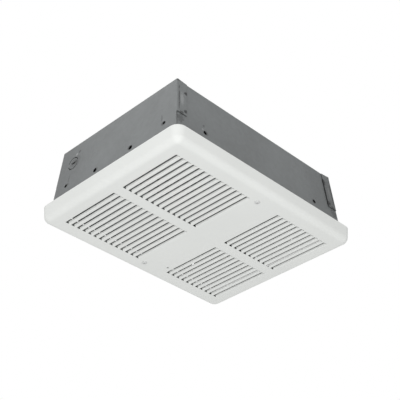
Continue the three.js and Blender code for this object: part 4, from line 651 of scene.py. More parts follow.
class Mould:
    """Collects corners in millimetres and the faces between them."""

    def __init__(self) -> None:
        """Starts empty."""
        self.corners: list[Point] = []
        self.faces: list[tuple[int, ...]] = []

    def ring(self, points: Iterable[Sequence[float]]) -> list[int]:
        """Adds a row of corners and returns their numbers."""
        start = len(self.corners)
        self.corners.extend(tuple(point) for point in points)
        return list(range(start, len(self.corners)))

    def skin(self, first: list[int], second: list[int], closed: bool = True) -> None:
        """Joins two rows of as many corners with quads.

        Args:
            first: One row.
            second: The other row.
            closed: Whether the last corners join the first ones.
        """
        count = len(first)
        for i in range(count if closed else count - 1):
            j = (i + 1) % count
            self.faces.append((first[i], first[j], second[j], second[i]))

    def cap(self, ring: list[int]) -> None:
        """Closes a ring with one face."""
        self.faces.append(tuple(ring))

    def loft(self, rings: Iterable[Iterable[Sequence[float]]], capped: bool = True) -> None:
        """Skins a stack of rings.

        Args:
            rings: The rings, each with as many points.
            capped: Whether the first and the last are closed.
        """
        rows = [self.ring(points) for points in rings]
        for first, second in zip(rows, rows[1:]):
            self.skin(first, second)
        if capped:
            self.cap(rows[0])
            self.cap(rows[-1])

    def bar(self, radius: float, start: Sequence[float], end: Sequence[float], sides: int = 40) -> None:
        """Adds a round bar between two points.

        Args:
            radius: Its radius.
            start: One end of its axis.
            end: The other end.
            sides: How many sides it has.
        """
        along = Vector(end) - Vector(start)
        turn = along.to_track_quat("Z", "Y").to_matrix()
        flat = [turn @ Vector(point) for point in circle(radius, 0.0, sides)]
        self.loft([[Vector(start) + p for p in flat], [Vector(end) + p for p in flat]])

    def block(self, low: Sequence[float], high: Sequence[float]) -> None:
        """Adds a block between two corners."""
        (x0, y0, z0), (x1, y1, z1) = low, high
        self.loft([[(x0, y0, z), (x1, y0, z), (x1, y1, z), (x0, y1, z)] for z in (z0, z1)])

    def ball(self, centre: Sequence[float], radius: float, sides: int = 40) -> None:
        """Adds a ball.

        Args:
            centre: Its middle.
            radius: Its radius.
            sides: How many sides its equator has.
        """
        middle = Vector(centre)
        rings = []
        for tilt in sweep(0.0, math.pi, sides // 2)[1:-1]:
            ring = circle(radius * math.sin(tilt), radius * math.cos(tilt), sides)
            rings.append([middle + Vector(point) for point in ring])
        self.loft(rings)

    def lathe(self, profile: Sequence[tuple[float, float]], sides: int = 40) -> None:
        """Turns an outline of radius and height about the Z axis; it begins and ends near the axis."""
        self.loft([circle(radius, z, sides) for radius, z in profile])

    def mesh(self, name: str) -> bpy.types.Mesh:
        """The finished mesh, in metres, merged and with its faces pointing out."""
        mesh = bpy.data.meshes.new(name)
        mesh.from_pydata([tuple(c * METRES for c in corner) for corner in self.corners], [], self.faces)
        return tidied(mesh)


def angles(sides: int) -> list[float]:
    """Evenly spaced angles round a circle, in radians."""
    return [2 * math.pi * i / sides for i in range(sides)]


def sweep(start: float, end: float, steps: int) -> list[float]:
    """Evenly spaced values from a start to an end, both included."""
    return [start + (end - start) * i / steps for i in range(steps + 1)]


def circle(radius: float, z: float, sides: int) -> list[Point]:
    """A ring of points about the Z axis."""
    return [(radius * math.cos(a), radius * math.sin(a), z) for a in angles(sides)]


def tidied(mesh: bpy.types.Mesh) -> bpy.types.Mesh:
    """Merges a mesh's doubles and turns its faces outwards."""
    work = bmesh.new()
    work.from_mesh(mesh)
    bmesh.ops.remove_doubles(work, verts=work.verts, dist=1e-6)
    bmesh.ops.recalc_face_normals(work, faces=work.faces)
    work.to_mesh(mesh)
    work.free()
    return mesh


def smoothed(mesh: bpy.types.Mesh, sharpest: float) -> bpy.types.Mesh:
    """Smooths a mesh's shading, except at edges that turn by more than so many degrees."""
    mesh.shade_smooth()
    mesh.set_sharp_from_angle(angle=math.radians(sharpest))
    return mesh


def evaluated(work: bpy.types.Object) -> bpy.types.Mesh:
    """The plain mesh of an object after its modifiers; the object is removed."""
    bpy.context.view_layer.update()
    depsgraph = bpy.context.evaluated_depsgraph_get()
    result = bpy.data.meshes.new_from_object(work.evaluated_get(depsgraph), depsgraph=depsgraph)
    bpy.data.objects.remove(work)
    return result


def scene_object(name: str, data: bpy.types.ID) -> bpy.types.Object:
    """Links a new object that carries a mesh, a lamp or a camera."""
    made = bpy.data.objects.new(name, data)
    bpy.context.scene.collection.objects.link(made)
    return made


def shaped(mesh: bpy.types.Mesh, *modifiers: tuple[str, dict[str, object]]) -> bpy.types.Mesh:
    """Runs modifiers on a mesh.

    Args:
        mesh: The starting mesh.
        modifiers: Each modifier's kind and its settings, in order.

    Returns:
        The plain mesh that results.
    """
    work = scene_object("work", mesh)
    for kind, settings in modifiers:
        modifier = work.modifiers.new(kind.lower(), kind)
        for name, value in settings.items():
            setattr(modifier, name, value)
    return evaluated(work)


def cut(mesh: bpy.types.Mesh, tools: Mould) -> bpy.types.Mesh:
    """Cuts the tools' solids out of a mesh.

    Args:
        mesh: The mesh that is cut.
        tools: The solids that go.

    Returns:
        The mesh that is left.
    """
    tool = scene_object("tool", tools.mesh("tool"))
    result = shaped(mesh, ("BOOLEAN", {"operation": "DIFFERENCE", "solver": "EXACT", "object": tool}))
    bpy.data.objects.remove(tool)
    return result


def weighted(mesh: bpy.types.Mesh, sharpest: float) -> bpy.types.Mesh:
    """Smooths a mesh's shading and lets its large faces look flat."""
    return shaped(smoothed(mesh, sharpest), ("WEIGHTED_NORMAL", {"keep_sharp": True, "mode": "FACE_AREA"}))


def softened(mesh: bpy.types.Mesh, width: float) -> bpy.types.Mesh:
    """Rounds a mesh's edges a little and smooths its shading.

    Args:
        mesh: The crisp mesh.
        width: The bevel's width, in millimetres.

    Returns:
        The softened mesh.
    """
    bevelled = shaped(mesh, ("BEVEL", {
        "width": width * METRES, "segments": 2, "limit_method": "ANGLE",
        "angle_limit": math.radians(30.0), "use_clamp_overlap": True, "miter_outer": "MITER_ARC",
    }))
    return weighted(bevelled, sharpest=35.0)


def thickened(mesh: bpy.types.Mesh) -> bpy.types.Mesh:
    """Gives an outside skin the thickness of its sheet, inwards."""
    face = mesh.polygons[0]
    outward = 1.0 if face.normal.dot(face.center) > 0 else -1.0
    return shaped(mesh, ("SOLIDIFY", {
        "thickness": SHEET * METRES, "offset": -outward, "use_even_offset": True,
    }))


def numbered(stem: str, count: int) -> list[str]:
    """The names of a row of nodes that are numbered from one."""
    return [f"{stem}_{i + 1}" for i in range(count)]


def middle_of(node: str) -> Vector:
    """The middle of a node's box, in metres."""
    low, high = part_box(node)
    return (low + high) / 2


def add_piece(name: str, mesh: bpy.types.Mesh, finish: Finish, body: Body = Body.HOUSING,
              stands_for: Sequence[str] = ()) -> bpy.types.Object:
    """Puts a finished mesh in the scene, dressed and riding on its body.

    Args:
        name: The piece's name.
        mesh: Its mesh, in place.
        finish: What it is made of.
        body: The body that it moves with.
        stands_for: The CAD nodes that it replaces.

    Returns:
        The piece.
    """
    mesh.materials.clear()
    mesh.materials.append(material_of(finish))
    piece = scene_object(name, mesh)
    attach(piece, body.value)
    if stands_for:
        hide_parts(*stands_for)
    LOG.info("%s: %d faces, %s, on %s", name, len(mesh.polygons), finish.name, body.value)
    return piece


# ---------------- back box


@dataclass(frozen=True)
class Taper:
    """The box's outside, which leans in towards the top. Millimetres, about the origin."""

    half_length: float
    half_width: float
    height: float
    end_lean: float = 7.5
    side_lean: float = 9.3

    def x_at(self, z: float) -> float:
        """Half the length at a height."""
        return self.half_length - self.end_lean * z / self.height

    def y_at(self, z: float) -> float:
        """Half the width at a height."""
        return self.half_width - self.side_lean * z / self.height


def box_taper() -> Taper:
    """The taper that the frame's end walls and back box have."""
    low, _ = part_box("end_wall_intake")
    side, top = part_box("back_box")
    return Taper(-low.x / METRES, -side.y / METRES, top.z / METRES)


# The screws and rivets that go through the top panel.
TOP_FASTENERS = (*numbered("divider_screw", 2), *numbered("support_screw", 4), *numbered("hanger_rivet", 4))


@dataclass
class BackBox:
    """The folded sheet that makes the top panel and the two long side walls."""

    taper: Taper
    fold: float = 1.8
    fold_steps: int = 6
    nail_x: float = 120.0
    nail_z: float = 27.5
    nail_radius: float = 3.2
    screw_z: float = 10.0
    screw_x: tuple[float, ...] = (-140.0, -40.0)
    screw_radius: float = 2.0
    screw_sides: int = 24
    top_reach: float = 4.0

    def profile(self) -> list[tuple[float, float]]:
        """The outside of the sheet in the YZ plane, from the front wall's foot to the rear wall's."""
        taper = self.taper
        lean = math.atan2(taper.side_lean, taper.height)
        turn = math.pi / 2 - lean
        back = self.fold * math.tan(turn / 2)
        centre_y = taper.y_at(taper.height) - back
        centre_z = taper.height - self.fold
        half = [(taper.y_at(0.0), 0.0)]
        for angle in sweep(lean, lean + turn, self.fold_steps):
            half.append((centre_y + self.fold * math.cos(angle), centre_z + self.fold * math.sin(angle)))
        return [(-y, z) for y, z in half] + [(y, z) for y, z in reversed(half)]

    def shell(self) -> bpy.types.Mesh:
        """The sheet before its holes."""
        mould = Mould()
        rows = []
        for end in End:
            reach = [self.taper.x_at(z) - SHEET - SEAM for _, z in self.profile()]
            rows.append(mould.ring((end.value * x, y, z) for x, (y, z) in zip(reach, self.profile())))
        mould.skin(*rows, closed=False)
        return thickened(mould.mesh("back_box_sheet"))

    def build(self) -> None:
        """Makes the sheet with its holes."""
        holes = Mould()
        for side in (-1, 1):
            spots = [(end.value * self.nail_x, self.nail_z, self.nail_radius) for end in End]
            spots += [(x, self.screw_z, self.screw_radius) for x in self.screw_x]
            for x, z, radius in spots:
                reach = self.taper.y_at(z)
                holes.bar(radius, (x, side * (reach - TOOL_REACH), z), (x, side * (reach + TOOL_REACH), z))
        for node in TOP_FASTENERS:
            x, y, _ = middle_of(node) / METRES
            ends = [(x, y, self.taper.height + step) for step in (-self.top_reach, self.top_reach)]
            holes.bar(self.screw_radius, *ends, self.screw_sides)
        add_piece("back_box_sheet", softened(cut(self.shell(), holes), 0.2), BOX_ZINC_STAINED_AND_SHADED,
                  stands_for=["back_box"])


@dataclass
class EndWall:
    """A short wall with its tabs folded round onto the side walls."""

    taper: Taper
    end: End
    fold: float = 1.7
    fold_steps: int = 6
    tab_width: float = 19.0
    tab_bottom: float = 36.0
    tab_drop: float = 1.4
    flange: float = 7.0
    weld_from_corner: float = 14.0
    weld_radius: float = 2.6
    weld_depth: float = 0.45
    weld_sides: int = 96
    weld_z: tuple[float, ...] = (43.0, 80.0)
    nail_y: float = 108.0
    nail_z: float = 28.0
    nail_radius: float = 2.8
    mid_y: float = 39.0
    mid_z: float = 22.0
    mid_radius: float = 3.6
    knockout_y: float = 98.0
    knockout_z: float = 67.0
    knockout_radius: float = 11.1
    knockout_cut: float = 1.1
    knockout_tie: float = 0.32
    knockout_steps: int = 36
    knockout_reach: float = 5.0
    pry_length: float = 7.6
    pry_width: float = 2.4

    def outline(self, z: float) -> list[Point]:
        """The outside of the wall and its tabs at a height, from the front tab to the rear one.

        Args:
            z: The height.

        Returns:
            The points along the outside.
        """
        wall_x = self.taper.x_at(z)
        tab_y = self.taper.y_at(z) + SHEET + SEAM
        half = [(wall_x - self.tab_width, tab_y)]
        for angle in sweep(math.pi / 2, 0.0, self.fold_steps):
            x = wall_x - self.fold + self.fold * math.cos(angle)
            half.append((x, tab_y - self.fold + self.fold * math.sin(angle)))
        sign = self.end.value
        return [(sign * x, -y, z) for x, y in half] + [(sign * x, y, z) for x, y in reversed(half)]

    def dropped(self, outline: list[Point]) -> list[Point]:
        """The top outline with the ends of the tabs let down below the top panel's fold."""
        first, last = outline[0], outline[-1]
        return [(first[0], first[1], first[2] - self.tab_drop), *outline[1:-1],
                (last[0], last[1], last[2] - self.tab_drop)]

    def shell(self) -> bpy.types.Mesh:
        """The folded sheet before its holes."""
        mould = Mould()
        low = mould.ring(self.outline(self.tab_bottom))
        high = mould.ring(self.dropped(self.outline(self.taper.height)))
        mould.skin(low, high, closed=False)
        middle = len(low) // 2
        foot_x = self.end.value * self.taper.x_at(0.0)
        foot = mould.ring([(foot_x, -self.taper.y_at(0.0), 0.0), (foot_x, self.taper.y_at(0.0), 0.0)])
        mould.faces.append((foot[0], foot[1], low[middle], low[middle - 1]))
        return thickened(mould.mesh("end_wall"))

    def holes(self) -> Mould:
        """The nailing holes, the weld dimples and, at the intake end, the knockout."""
        tools = Mould()
        sign = self.end.value
        for side in (-1, 1):
            for y, z, radius in ((self.nail_y, self.nail_z, self.nail_radius),
                                 (self.mid_y, self.mid_z, self.mid_radius)):
                x = self.taper.x_at(z)
                ends = [(sign * (x + reach), side * y, z) for reach in (-TOOL_REACH, TOOL_REACH)]
                tools.bar(radius, *ends)
            ball = (self.weld_radius ** 2 + self.weld_depth ** 2) / (2 * self.weld_depth)
            for z in self.weld_z:
                x = self.taper.x_at(z) - self.weld_from_corner
                y = self.taper.y_at(z) + SHEET + SEAM + ball - self.weld_depth
                tools.ball((sign * x, side * y, z), ball, self.weld_sides)
        if self.end is End.INTAKE:
            self.add_knockout(tools)
        return tools

    def add_knockout(self, tools: Mould) -> None:
        """Adds the sheared ring, left whole at two ties, and the pry slot."""
        x = self.end.value * self.taper.x_at(self.knockout_z)
        near, far = -self.knockout_reach, self.knockout_reach
        inner, outer = self.knockout_radius - self.knockout_cut, self.knockout_radius
        section = ((near, inner), (far, inner), (far, outer), (near, outer))
        for half in (0.0, math.pi):
            sheared = sweep(half + self.knockout_tie, half + math.pi - self.knockout_tie, self.knockout_steps)
            tools.loft([
                [(x + dx, self.knockout_y + r * math.cos(angle), self.knockout_z + r * math.sin(angle))
                 for dx, r in section]
                for angle in sheared
            ])
        tools.block((x + near, self.knockout_y - self.pry_length / 2, self.knockout_z - self.pry_width / 2),
                    (x + far, self.knockout_y + self.pry_length / 2, self.knockout_z + self.pry_width / 2))

    def top_flange(self) -> None:
        """Makes the flange that the top panel lies on."""
        sign = self.end.value
        top = self.taper.height - SHEET - SEAM
        wall = self.taper.x_at(top) - SHEET
        half = self.taper.y_at(top) - SHEET - SEAM
        mould = Mould()
        span = sorted((sign * wall, sign * (wall - self.flange)))
        mould.block((span[0], -half, top - SHEET), (span[1], half, top))
        add_piece(f"end_flange_{self.end.name.lower()}", softened(mould.mesh("flange"), 0.2), ZINC)

    def build(self) -> None:
        """Makes the wall, with its holes, and its flange."""
        node = f"end_wall_{self.end.name.lower()}"
        mesh = softened(cut(self.shell(), self.holes()), 0.2)
        add_piece(f"{node}_sheet", mesh, BOX_ZINC_STAINED_AND_SHADED, stands_for=[node])
        self.top_flange()


# ---------------- grille


def rounded_rectangle(half_x: float, half_y: float, radius: float, steps: int) -> list[tuple[float, float]]:
    """The corners of a rectangle with round corners, anticlockwise.

    Args:
        half_x: Half its length.
        half_y: Half its width.
        radius: Its corners' radius.
        steps: How many edges each corner has.

    Returns:
        The points about the origin.
    """
    points = []
    for quarter, (sx, sy) in enumerate(((1, 1), (-1, 1), (-1, -1), (1, -1))):
        for angle in sweep(math.pi / 2 * quarter, math.pi / 2 * (quarter + 1), steps):
            points.append((sx * (half_x - radius) + radius * math.cos(angle),
                           sy * (half_y - radius) + radius * math.sin(angle)))
    return points


@lru_cache
def louvre_tree() -> tuple[bpy.types.NodeTree, dict[str, str]]:
    """Geometry nodes that bend one lanced blade and repeat it along a bank.

    Returns:
        The tree, and the identifier of each named input.
    """
    numbers = {
        "Count": (INT, 14), "Pitch": (FLOAT, 0.0108), "Length": (FLOAT, 0.11), "Width": (FLOAT, 0.0072),
        "Bend Radius": (FLOAT, 0.0012), "Angle": (FLOAT, 0.7), "Sheet": (FLOAT, 0.001),
        "End Taper": (FLOAT, 0.001), "Start": (VECTOR, (0.0, 0.0, 0.0)),
        "Material": ("NodeSocketMaterial", None),
    }
    graph, given, out = open_group("louvre_bank", {"Geometry": (GEOMETRY, None), **numbers},
                                   {"Geometry": GEOMETRY}, "GeometryNodeTree")
    value = given.outputs
    grid = graph.add("GeometryNodeMeshGrid", {
        "Size X": 1.0, "Size Y": 1.0, "Vertices X": 14, "Vertices Y": 9,
    })
    place = graph.add("ShaderNodeSeparateXYZ", {"Vector": graph.add("GeometryNodeInputPosition").outputs[0]})
    share = graph.math("ADD", place.outputs["X"], 0.5)
    along = graph.math("MULTIPLY", share, value["Width"])
    bend = graph.math("MULTIPLY", value["Bend Radius"], value["Angle"])
    turned = graph.math("DIVIDE", graph.math("MINIMUM", along, bend), value["Bend Radius"])
    straight = graph.math("MAXIMUM", graph.math("SUBTRACT", along, bend), 0.0)
    curve_x = graph.math("MULTIPLY", value["Bend Radius"], graph.math("SINE", turned))
    flat_x = graph.math("MULTIPLY", straight, graph.math("COSINE", value["Angle"]))
    x = graph.math("MULTIPLY", graph.math("ADD", curve_x, flat_x), -1.0)
    rise = graph.math("SUBTRACT", 1.0, graph.math("COSINE", turned))
    flat_z = graph.math("MULTIPLY", straight, graph.math("SINE", value["Angle"]))
    z = graph.math("MULTIPLY_ADD", value["Bend Radius"], rise, flat_z)
    shorter = graph.math("MULTIPLY", graph.math("MULTIPLY", share, value["End Taper"]), 2.0)
    y = graph.math("MULTIPLY", place.outputs["Y"], graph.math("SUBTRACT", value["Length"], shorter))
    bent = graph.add("GeometryNodeSetPosition", {
        "Geometry": grid.outputs["Mesh"],
        "Position": graph.add("ShaderNodeCombineXYZ", {"X": x, "Y": y, "Z": z}).outputs[0],
    })
    thick = graph.add("GeometryNodeExtrudeMesh", {
        "Mesh": bent.outputs[0], "Offset Scale": graph.math("MULTIPLY", value["Sheet"], -1.0),
        "Individual": False,
    })
    both = graph.add("GeometryNodeJoinGeometry")
    for part in (bent.outputs[0], thick.outputs["Mesh"]):
        graph.tree.links.new(part, both.inputs[0])
    step = graph.add("ShaderNodeCombineXYZ", {"X": value["Pitch"]})
    line = graph.add("GeometryNodeMeshLine", {
        "Count": value["Count"], "Start Location": value["Start"], "Offset": step.outputs[0],
    })
    copies = graph.add("GeometryNodeInstanceOnPoints", {
        "Points": line.outputs[0], "Instance": both.outputs[0],
    })
    real = graph.add("GeometryNodeRealizeInstances", {"Geometry": copies.outputs[0]})
    merged = graph.add("GeometryNodeMergeByDistance", {"Geometry": real.outputs[0], "Distance": 1e-6})
    dressed = graph.add("GeometryNodeSetMaterial", {
        "Geometry": merged.outputs[0], "Material": value["Material"],
    })
    graph.feed(out.inputs[0], dressed.outputs[0])
    return graph.tree, identifiers(graph.tree)


def identifiers(tree: bpy.types.NodeTree) -> dict[str, str]:
    """The identifier of each input of a node tree, by its name."""
    return {item.name: item.identifier for item in tree.interface.items_tree if item.in_out == "INPUT"}


def grown(base: bpy.types.Mesh, made: tuple[bpy.types.NodeTree, dict[str, str]],
          **inputs: object) -> bpy.types.Mesh:
    """Runs a geometry node tree on a mesh.

    Args:
        base: The mesh that the modifier sits on.
        made: The tree and its input identifiers.
        inputs: The values of its named inputs.

    Returns:
        The plain mesh that results.
    """
    tree, names = made
    work = scene_object("work", base)
    modifier = work.modifiers.new("grow", "NODES")
    modifier.node_group = tree
    for name, value in inputs.items():
        modifier[names[socket_label(name)]] = value
    return evaluated(work)


Opening = tuple[float, float, float, float, float]


@dataclass
class Grille:
    """The pressed pan with its four banks of lanced louvres."""

    taper: Taper
    corner: float = 15.0
    nose: float = 11.0
    draft: float = 1.5
    lip_gap: float = 1.0
    corner_steps: int = 20
    nose_steps: int = 14
    pitch: float = 10.8
    slot_width: float = 7.4
    slot_corner: float = 1.4
    slot_lip: float = 0.5
    slot_steps: int = 5
    slot_near: float = 9.2
    slot_far: float = 119.4
    intake_slots: int = 14
    outlet_slots: int = 11
    bank_margin: float = 27.0
    blade_width: float = 4.0
    blade_angle: float = 54.0
    blade_bend: float = 3.0
    blade_taper: float = 1.5
    blade_end_gap: float = 0.4
    blade_sink: float = 0.02
    screw_y: float = 121.0
    screw_radius: float = 2.2
    reset: tuple[float, float] = (38.0, 107.0)
    reset_radius: float = 1.8
    half_x: float = field(init=False)
    half_y: float = field(init=False)
    depth: float = field(init=False)

    def __post_init__(self) -> None:
        """Takes the outside sizes from the frame."""
        low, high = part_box("grille")
        self.half_x = high.x / METRES
        self.half_y = high.y / METRES
        self.depth = -low.z / METRES

    def banks(self) -> list[tuple[str, float, int, int]]:
        """Each bank's name, first slot edge, slot count and side."""
        first = -self.half_x + self.bank_margin
        last = self.half_x - self.bank_margin - self.slot_width
        outlet = last - (self.outlet_slots - 1) * self.pitch
        return [
            (f"{name}_{row}", edge, count, side)
            for name, edge, count in (("intake", first, self.intake_slots),
                                      ("outlet", outlet, self.outlet_slots))
            for row, side in (("front", -1), ("rear", 1))
        ]

    def openings(self) -> list[Opening]:
        """Every slot and hole: its centre, its half sizes and its corner's radius."""
        found = []
        middle = (self.slot_near + self.slot_far) / 2
        half_y = (self.slot_far - self.slot_near) / 2
        for _, edge, count, side in self.banks():
            for i in range(count):
                x = edge + i * self.pitch + self.slot_width / 2
                found.append((x, side * middle, self.slot_width / 2, half_y, self.slot_corner))
        holes = [(0.0, side * self.screw_y, self.screw_radius) for side in (-1, 1)]
        holes.append((*self.reset, self.reset_radius))
        found.extend((x, y, radius, radius, radius) for x, y, radius in holes)
        return found

    def opening_ring(self, opening: Opening, grow: float) -> list[tuple[float, float]]:
        """An opening's outline, grown by a margin."""
        x, y, half_x, half_y, corner = opening
        ring = rounded_rectangle(half_x + grow, half_y + grow, corner + grow, self.slot_steps)
        return [(x + px, y + py) for px, py in ring]

    def face(self, mould: Mould, rim: list[int], z: float, grow: float) -> list[list[int]]:
        """Fills one side of the face, round its openings.

        Args:
            mould: Where the face goes.
            rim: The face's outer ring, already in the mould.
            z: The face's height.
            grow: How much larger the openings are than the slots.

        Returns:
            The ring of each opening.
        """
        rings = [mould.ring((x, y, z) for x, y in self.opening_ring(opening, grow))
                 for opening in self.openings()]
        numbers = list(rim)
        edges = [(i, (i + 1) % len(rim)) for i in range(len(rim))]
        for ring in rings:
            start = len(numbers)
            numbers.extend(ring)
            edges.extend((start + i, start + (i + 1) % len(ring)) for i in range(len(ring)))
        flat = [Vector(mould.corners[n][:2]) for n in numbers]
        _, _, triangles, sources, _, _ = delaunay_2d_cdt(flat, edges, [], 0, 1e-5, True)
        for triangle in triangles:
            corners = [numbers[sources[i][0]] for i in triangle]
            middle = sum((Vector(mould.corners[n][:2]) for n in corners), Vector((0.0, 0.0))) / 3
            if not any(abs(middle.x - x) < hx + grow and abs(middle.y - y) < hy + grow
                       for x, y, hx, hy, _ in self.openings()):
                mould.faces.append(tuple(corners))
        return rings

    def ring_at(self, inset: float, z: float) -> list[Point]:
        """The pan's outline, drawn in from the rim, at a height."""
        corner = max(self.corner - inset, 0.5)
        flat = rounded_rectangle(self.half_x - inset, self.half_y - inset, corner, self.corner_steps)
        return [(x, y, z) for x, y in flat]

    def lip_ring(self, back: float, z: float) -> list[Point]:
        """The edge of the return flange, which keeps a gap from the box, drawn back from it, at a height."""
        inset = self.half_x - self.taper.half_length - self.lip_gap - back
        narrow = (self.taper.half_width + self.lip_gap + back) / (self.half_y - inset)
        return [(x, y * narrow, z) for x, y, _ in self.ring_at(inset, z)]

    def pan(self) -> bpy.types.Mesh:
        """The pan with its slots and holes, as one closed sheet."""
        mould = Mould()
        turn = self.draft + self.nose
        inner = self.nose - SHEET
        steps = sweep(0.0, math.pi / 2, self.nose_steps)
        outside = [(turn - self.nose * math.sin(a), -self.depth + self.nose * (1 - math.cos(a)))
                   for a in steps]
        rim = [(0.08, -0.7), (0.0, -0.45), (0.16, -0.14), (0.5, 0.0)]
        lip = [(0.3, 0.0), (0.0, -0.3), (0.0, -SHEET + 0.3), (0.3, -SHEET)]
        under_rim = [(SHEET + 0.4, -SHEET), (SHEET + 0.12, -SHEET - 0.4)]
        inside = [(turn - inner * math.sin(a), -self.depth + self.nose - inner * math.cos(a))
                  for a in steps]
        rows = [mould.ring(self.ring_at(inset, z)) for inset, z in outside + rim]
        rows += [mould.ring(self.lip_ring(back, z)) for back, z in lip]
        rows += [mould.ring(self.ring_at(inset, z)) for inset, z in under_rim + inside[::-1]]
        for first, second in zip(rows, rows[1:]):
            mould.skin(first, second)
        outer = self.face(mould, rows[0], -self.depth, self.slot_lip)
        under = self.face(mould, rows[-1], -self.depth + SHEET, 0.0)
        rounding = [(self.slot_lip * (1 - math.sin(a)), self.slot_lip * (1 - math.cos(a)))
                    for a in sweep(0.0, math.pi / 2, 3)[1:]]
        for opening, start, end in zip(self.openings(), outer, under):
            ring = start
            for grow, rise in rounding:
                edge = mould.ring((x, y, -self.depth + rise) for x, y in self.opening_ring(opening, grow))
                mould.skin(ring, edge)
                ring = edge
            mould.skin(ring, end)
        return weighted(mould.mesh("grille_pan"), sharpest=50.0)

    def bank(self, edge: float, count: int, side: int) -> bpy.types.Mesh:
        """One bank of blades.

        Args:
            edge: Where the bank's first slot begins, along X.
            count: How many slots it has.
            side: The side of the X axis that it is on.

        Returns:
            The mesh of its blades.
        """
        root = edge + self.slot_width + self.slot_lip
        middle = side * (self.slot_near + self.slot_far) / 2
        mesh = grown(
            bpy.data.meshes.new("bank"), louvre_tree(),
            count=count, pitch=self.pitch * METRES,
            length=(self.slot_far - self.slot_near - 2 * self.blade_end_gap) * METRES,
            width=(self.blade_width + self.slot_lip) * METRES,
            bend_radius=self.blade_bend * METRES,
            angle=math.radians(self.blade_angle),
            sheet=SHEET * METRES,
            end_taper=self.blade_taper * METRES,
            start=(root * METRES, middle * METRES, (-self.depth + self.blade_sink) * METRES),
            material=material_of(ENAMEL),
        )
        return smoothed(tidied(mesh), sharpest=35.0)

    def build(self) -> None:
        """Makes the pan and the banks."""
        add_piece("grille_pan", self.pan(), ENAMEL, stands_for=["grille"])
        for name, edge, count, side in self.banks():
            add_piece(f"louvres_{name}", self.bank(edge, count, side), ENAMEL)


# ---------------- fasteners


@lru_cache
def copies_tree() -> tuple[bpy.types.NodeTree, dict[str, str]]:
    """Geometry nodes that put a copy of an object on each point, turned to the point's aim.

    Returns:
        The tree, and the identifier of each named input.
    """
    graph, given, out = open_group(
        "placed_copies",
        {"Geometry": (GEOMETRY, None), "Master": ("NodeSocketObject", None),
         "Material": ("NodeSocketMaterial", None), "Turn": (FLOAT, 0.5)},
        {"Geometry": GEOMETRY}, "GeometryNodeTree",
    )
    master = graph.add("GeometryNodeObjectInfo", {"Object": given.outputs["Master"]})
    aim = graph.add("GeometryNodeInputNamedAttribute", {"Name": "aim"}, data_type="FLOAT_VECTOR")
    turned = graph.add("FunctionNodeAlignRotationToVector", {"Vector": aim.outputs[0]}, axis="Z")
    number = graph.add("GeometryNodeInputIndex").outputs[0]
    spin = graph.add("FunctionNodeAxisAngleToRotation", {
        "Axis": (0.0, 0.0, 1.0), "Angle": graph.math("MULTIPLY", number, given.outputs["Turn"]),
    })
    both = graph.add("FunctionNodeRotateRotation", {
        "Rotation": turned.outputs[0], "Rotate By": spin.outputs[0],
    }, rotation_space="LOCAL")
    copies = graph.add("GeometryNodeInstanceOnPoints", {
        "Points": given.outputs["Geometry"], "Instance": master.outputs["Geometry"],
        "Rotation": both.outputs[0],
    })
    real = graph.add("GeometryNodeRealizeInstances", {"Geometry": copies.outputs[0]})
    dressed = graph.add("GeometryNodeSetMaterial", {
        "Geometry": real.outputs[0], "Material": given.outputs["Material"],
    })
    graph.feed(out.inputs[0], dressed.outputs[0])
    return graph.tree, identifiers(graph.tree)


def placed_copies(master: bpy.types.Mesh, places: Sequence[Vector], aims: Sequence[Vector], finish: Finish,
                  turn: float) -> bpy.types.Mesh:
    """Repeats a mesh at places, each turned so that its Z axis follows an aim.

    Args:
        master: The mesh that is repeated, about its own origin.
        places: Where the copies go, in metres.
        aims: The direction of each copy's Z axis.
        finish: What they are made of.
        turn: How far each copy is spun past the one before it, in radians.

    Returns:
        The mesh of all copies.
    """
    points = bpy.data.meshes.new("points")
    points.from_pydata([tuple(place) for place in places], [], [])
    aim = points.attributes.new("aim", "FLOAT_VECTOR", "POINT")
    aim.data.foreach_set("vector", [value for vector in aims for value in vector])
    model = scene_object("master", master)
    mesh = grown(points, copies_tree(), master=model, material=material_of(finish), turn=turn)
    bpy.data.objects.remove(model)
    return mesh


@dataclass(frozen=True)
class CrossScrew:
    """A pan head screw with a cross recess. Its head's underside is at its origin and its shank runs up Z."""

    shank: float = 1.9
    root: float = 0.84
    thread_pitch: float = 0.8
    plain_shank: float = 2.0
    head: float = 4.1
    head_height: float = 2.3
    dome_steps: int = 9
    length: float = 38.0
    recess: float = 1.3
    slot: float = 0.95
    sides: int = 36

    def thread(self) -> list[tuple[float, float]]:
        """The thread's outline of radius and height, from the tip down; root is a share of the shank."""
        root = self.shank * self.root
        points = []
        z = self.length - self.shank
        while z > self.plain_shank:
            points += [(self.shank, z), (self.shank, z - 0.25), (root, z - 0.5), (root, z - 0.6)]
            z -= self.thread_pitch
        return points

    def mesh(self) -> bpy.types.Mesh:
        """The screw's mesh."""
        dome = [(self.head * math.cos(a), -self.head_height * (0.3 + 0.7 * math.sin(a)))
                for a in sweep(0.0, math.pi / 2, self.dome_steps)[:-1]]
        screw = Mould()
        screw.lathe([(0.05, self.length), (self.shank * 0.5, self.length), *self.thread(), (self.shank, 0.5),
                     (self.shank, 0.0), (self.head, 0.0), *dome, (0.1, -self.head_height)], self.sides)
        recess = Mould()
        recess.loft([self.cross(self.head * 0.62, self.slot / 2, -self.head_height - 1.0),
                     self.cross(self.head * 0.3, self.slot * 0.4, -self.head_height + self.recess)])
        return smoothed(cut(screw.mesh("cross_screw"), recess), sharpest=32.0)

    @staticmethod
    def cross(arm: float, half: float, z: float) -> list[Point]:
        """The outline of a cross with four equal arms."""
        quarter = [(half, half), (half, arm), (-half, arm)]
        turns = ((1, 0), (0, 1), (-1, 0), (0, -1))
        return [(x * c - y * s, x * s + y * c, z) for c, s in turns for x, y in quarter]


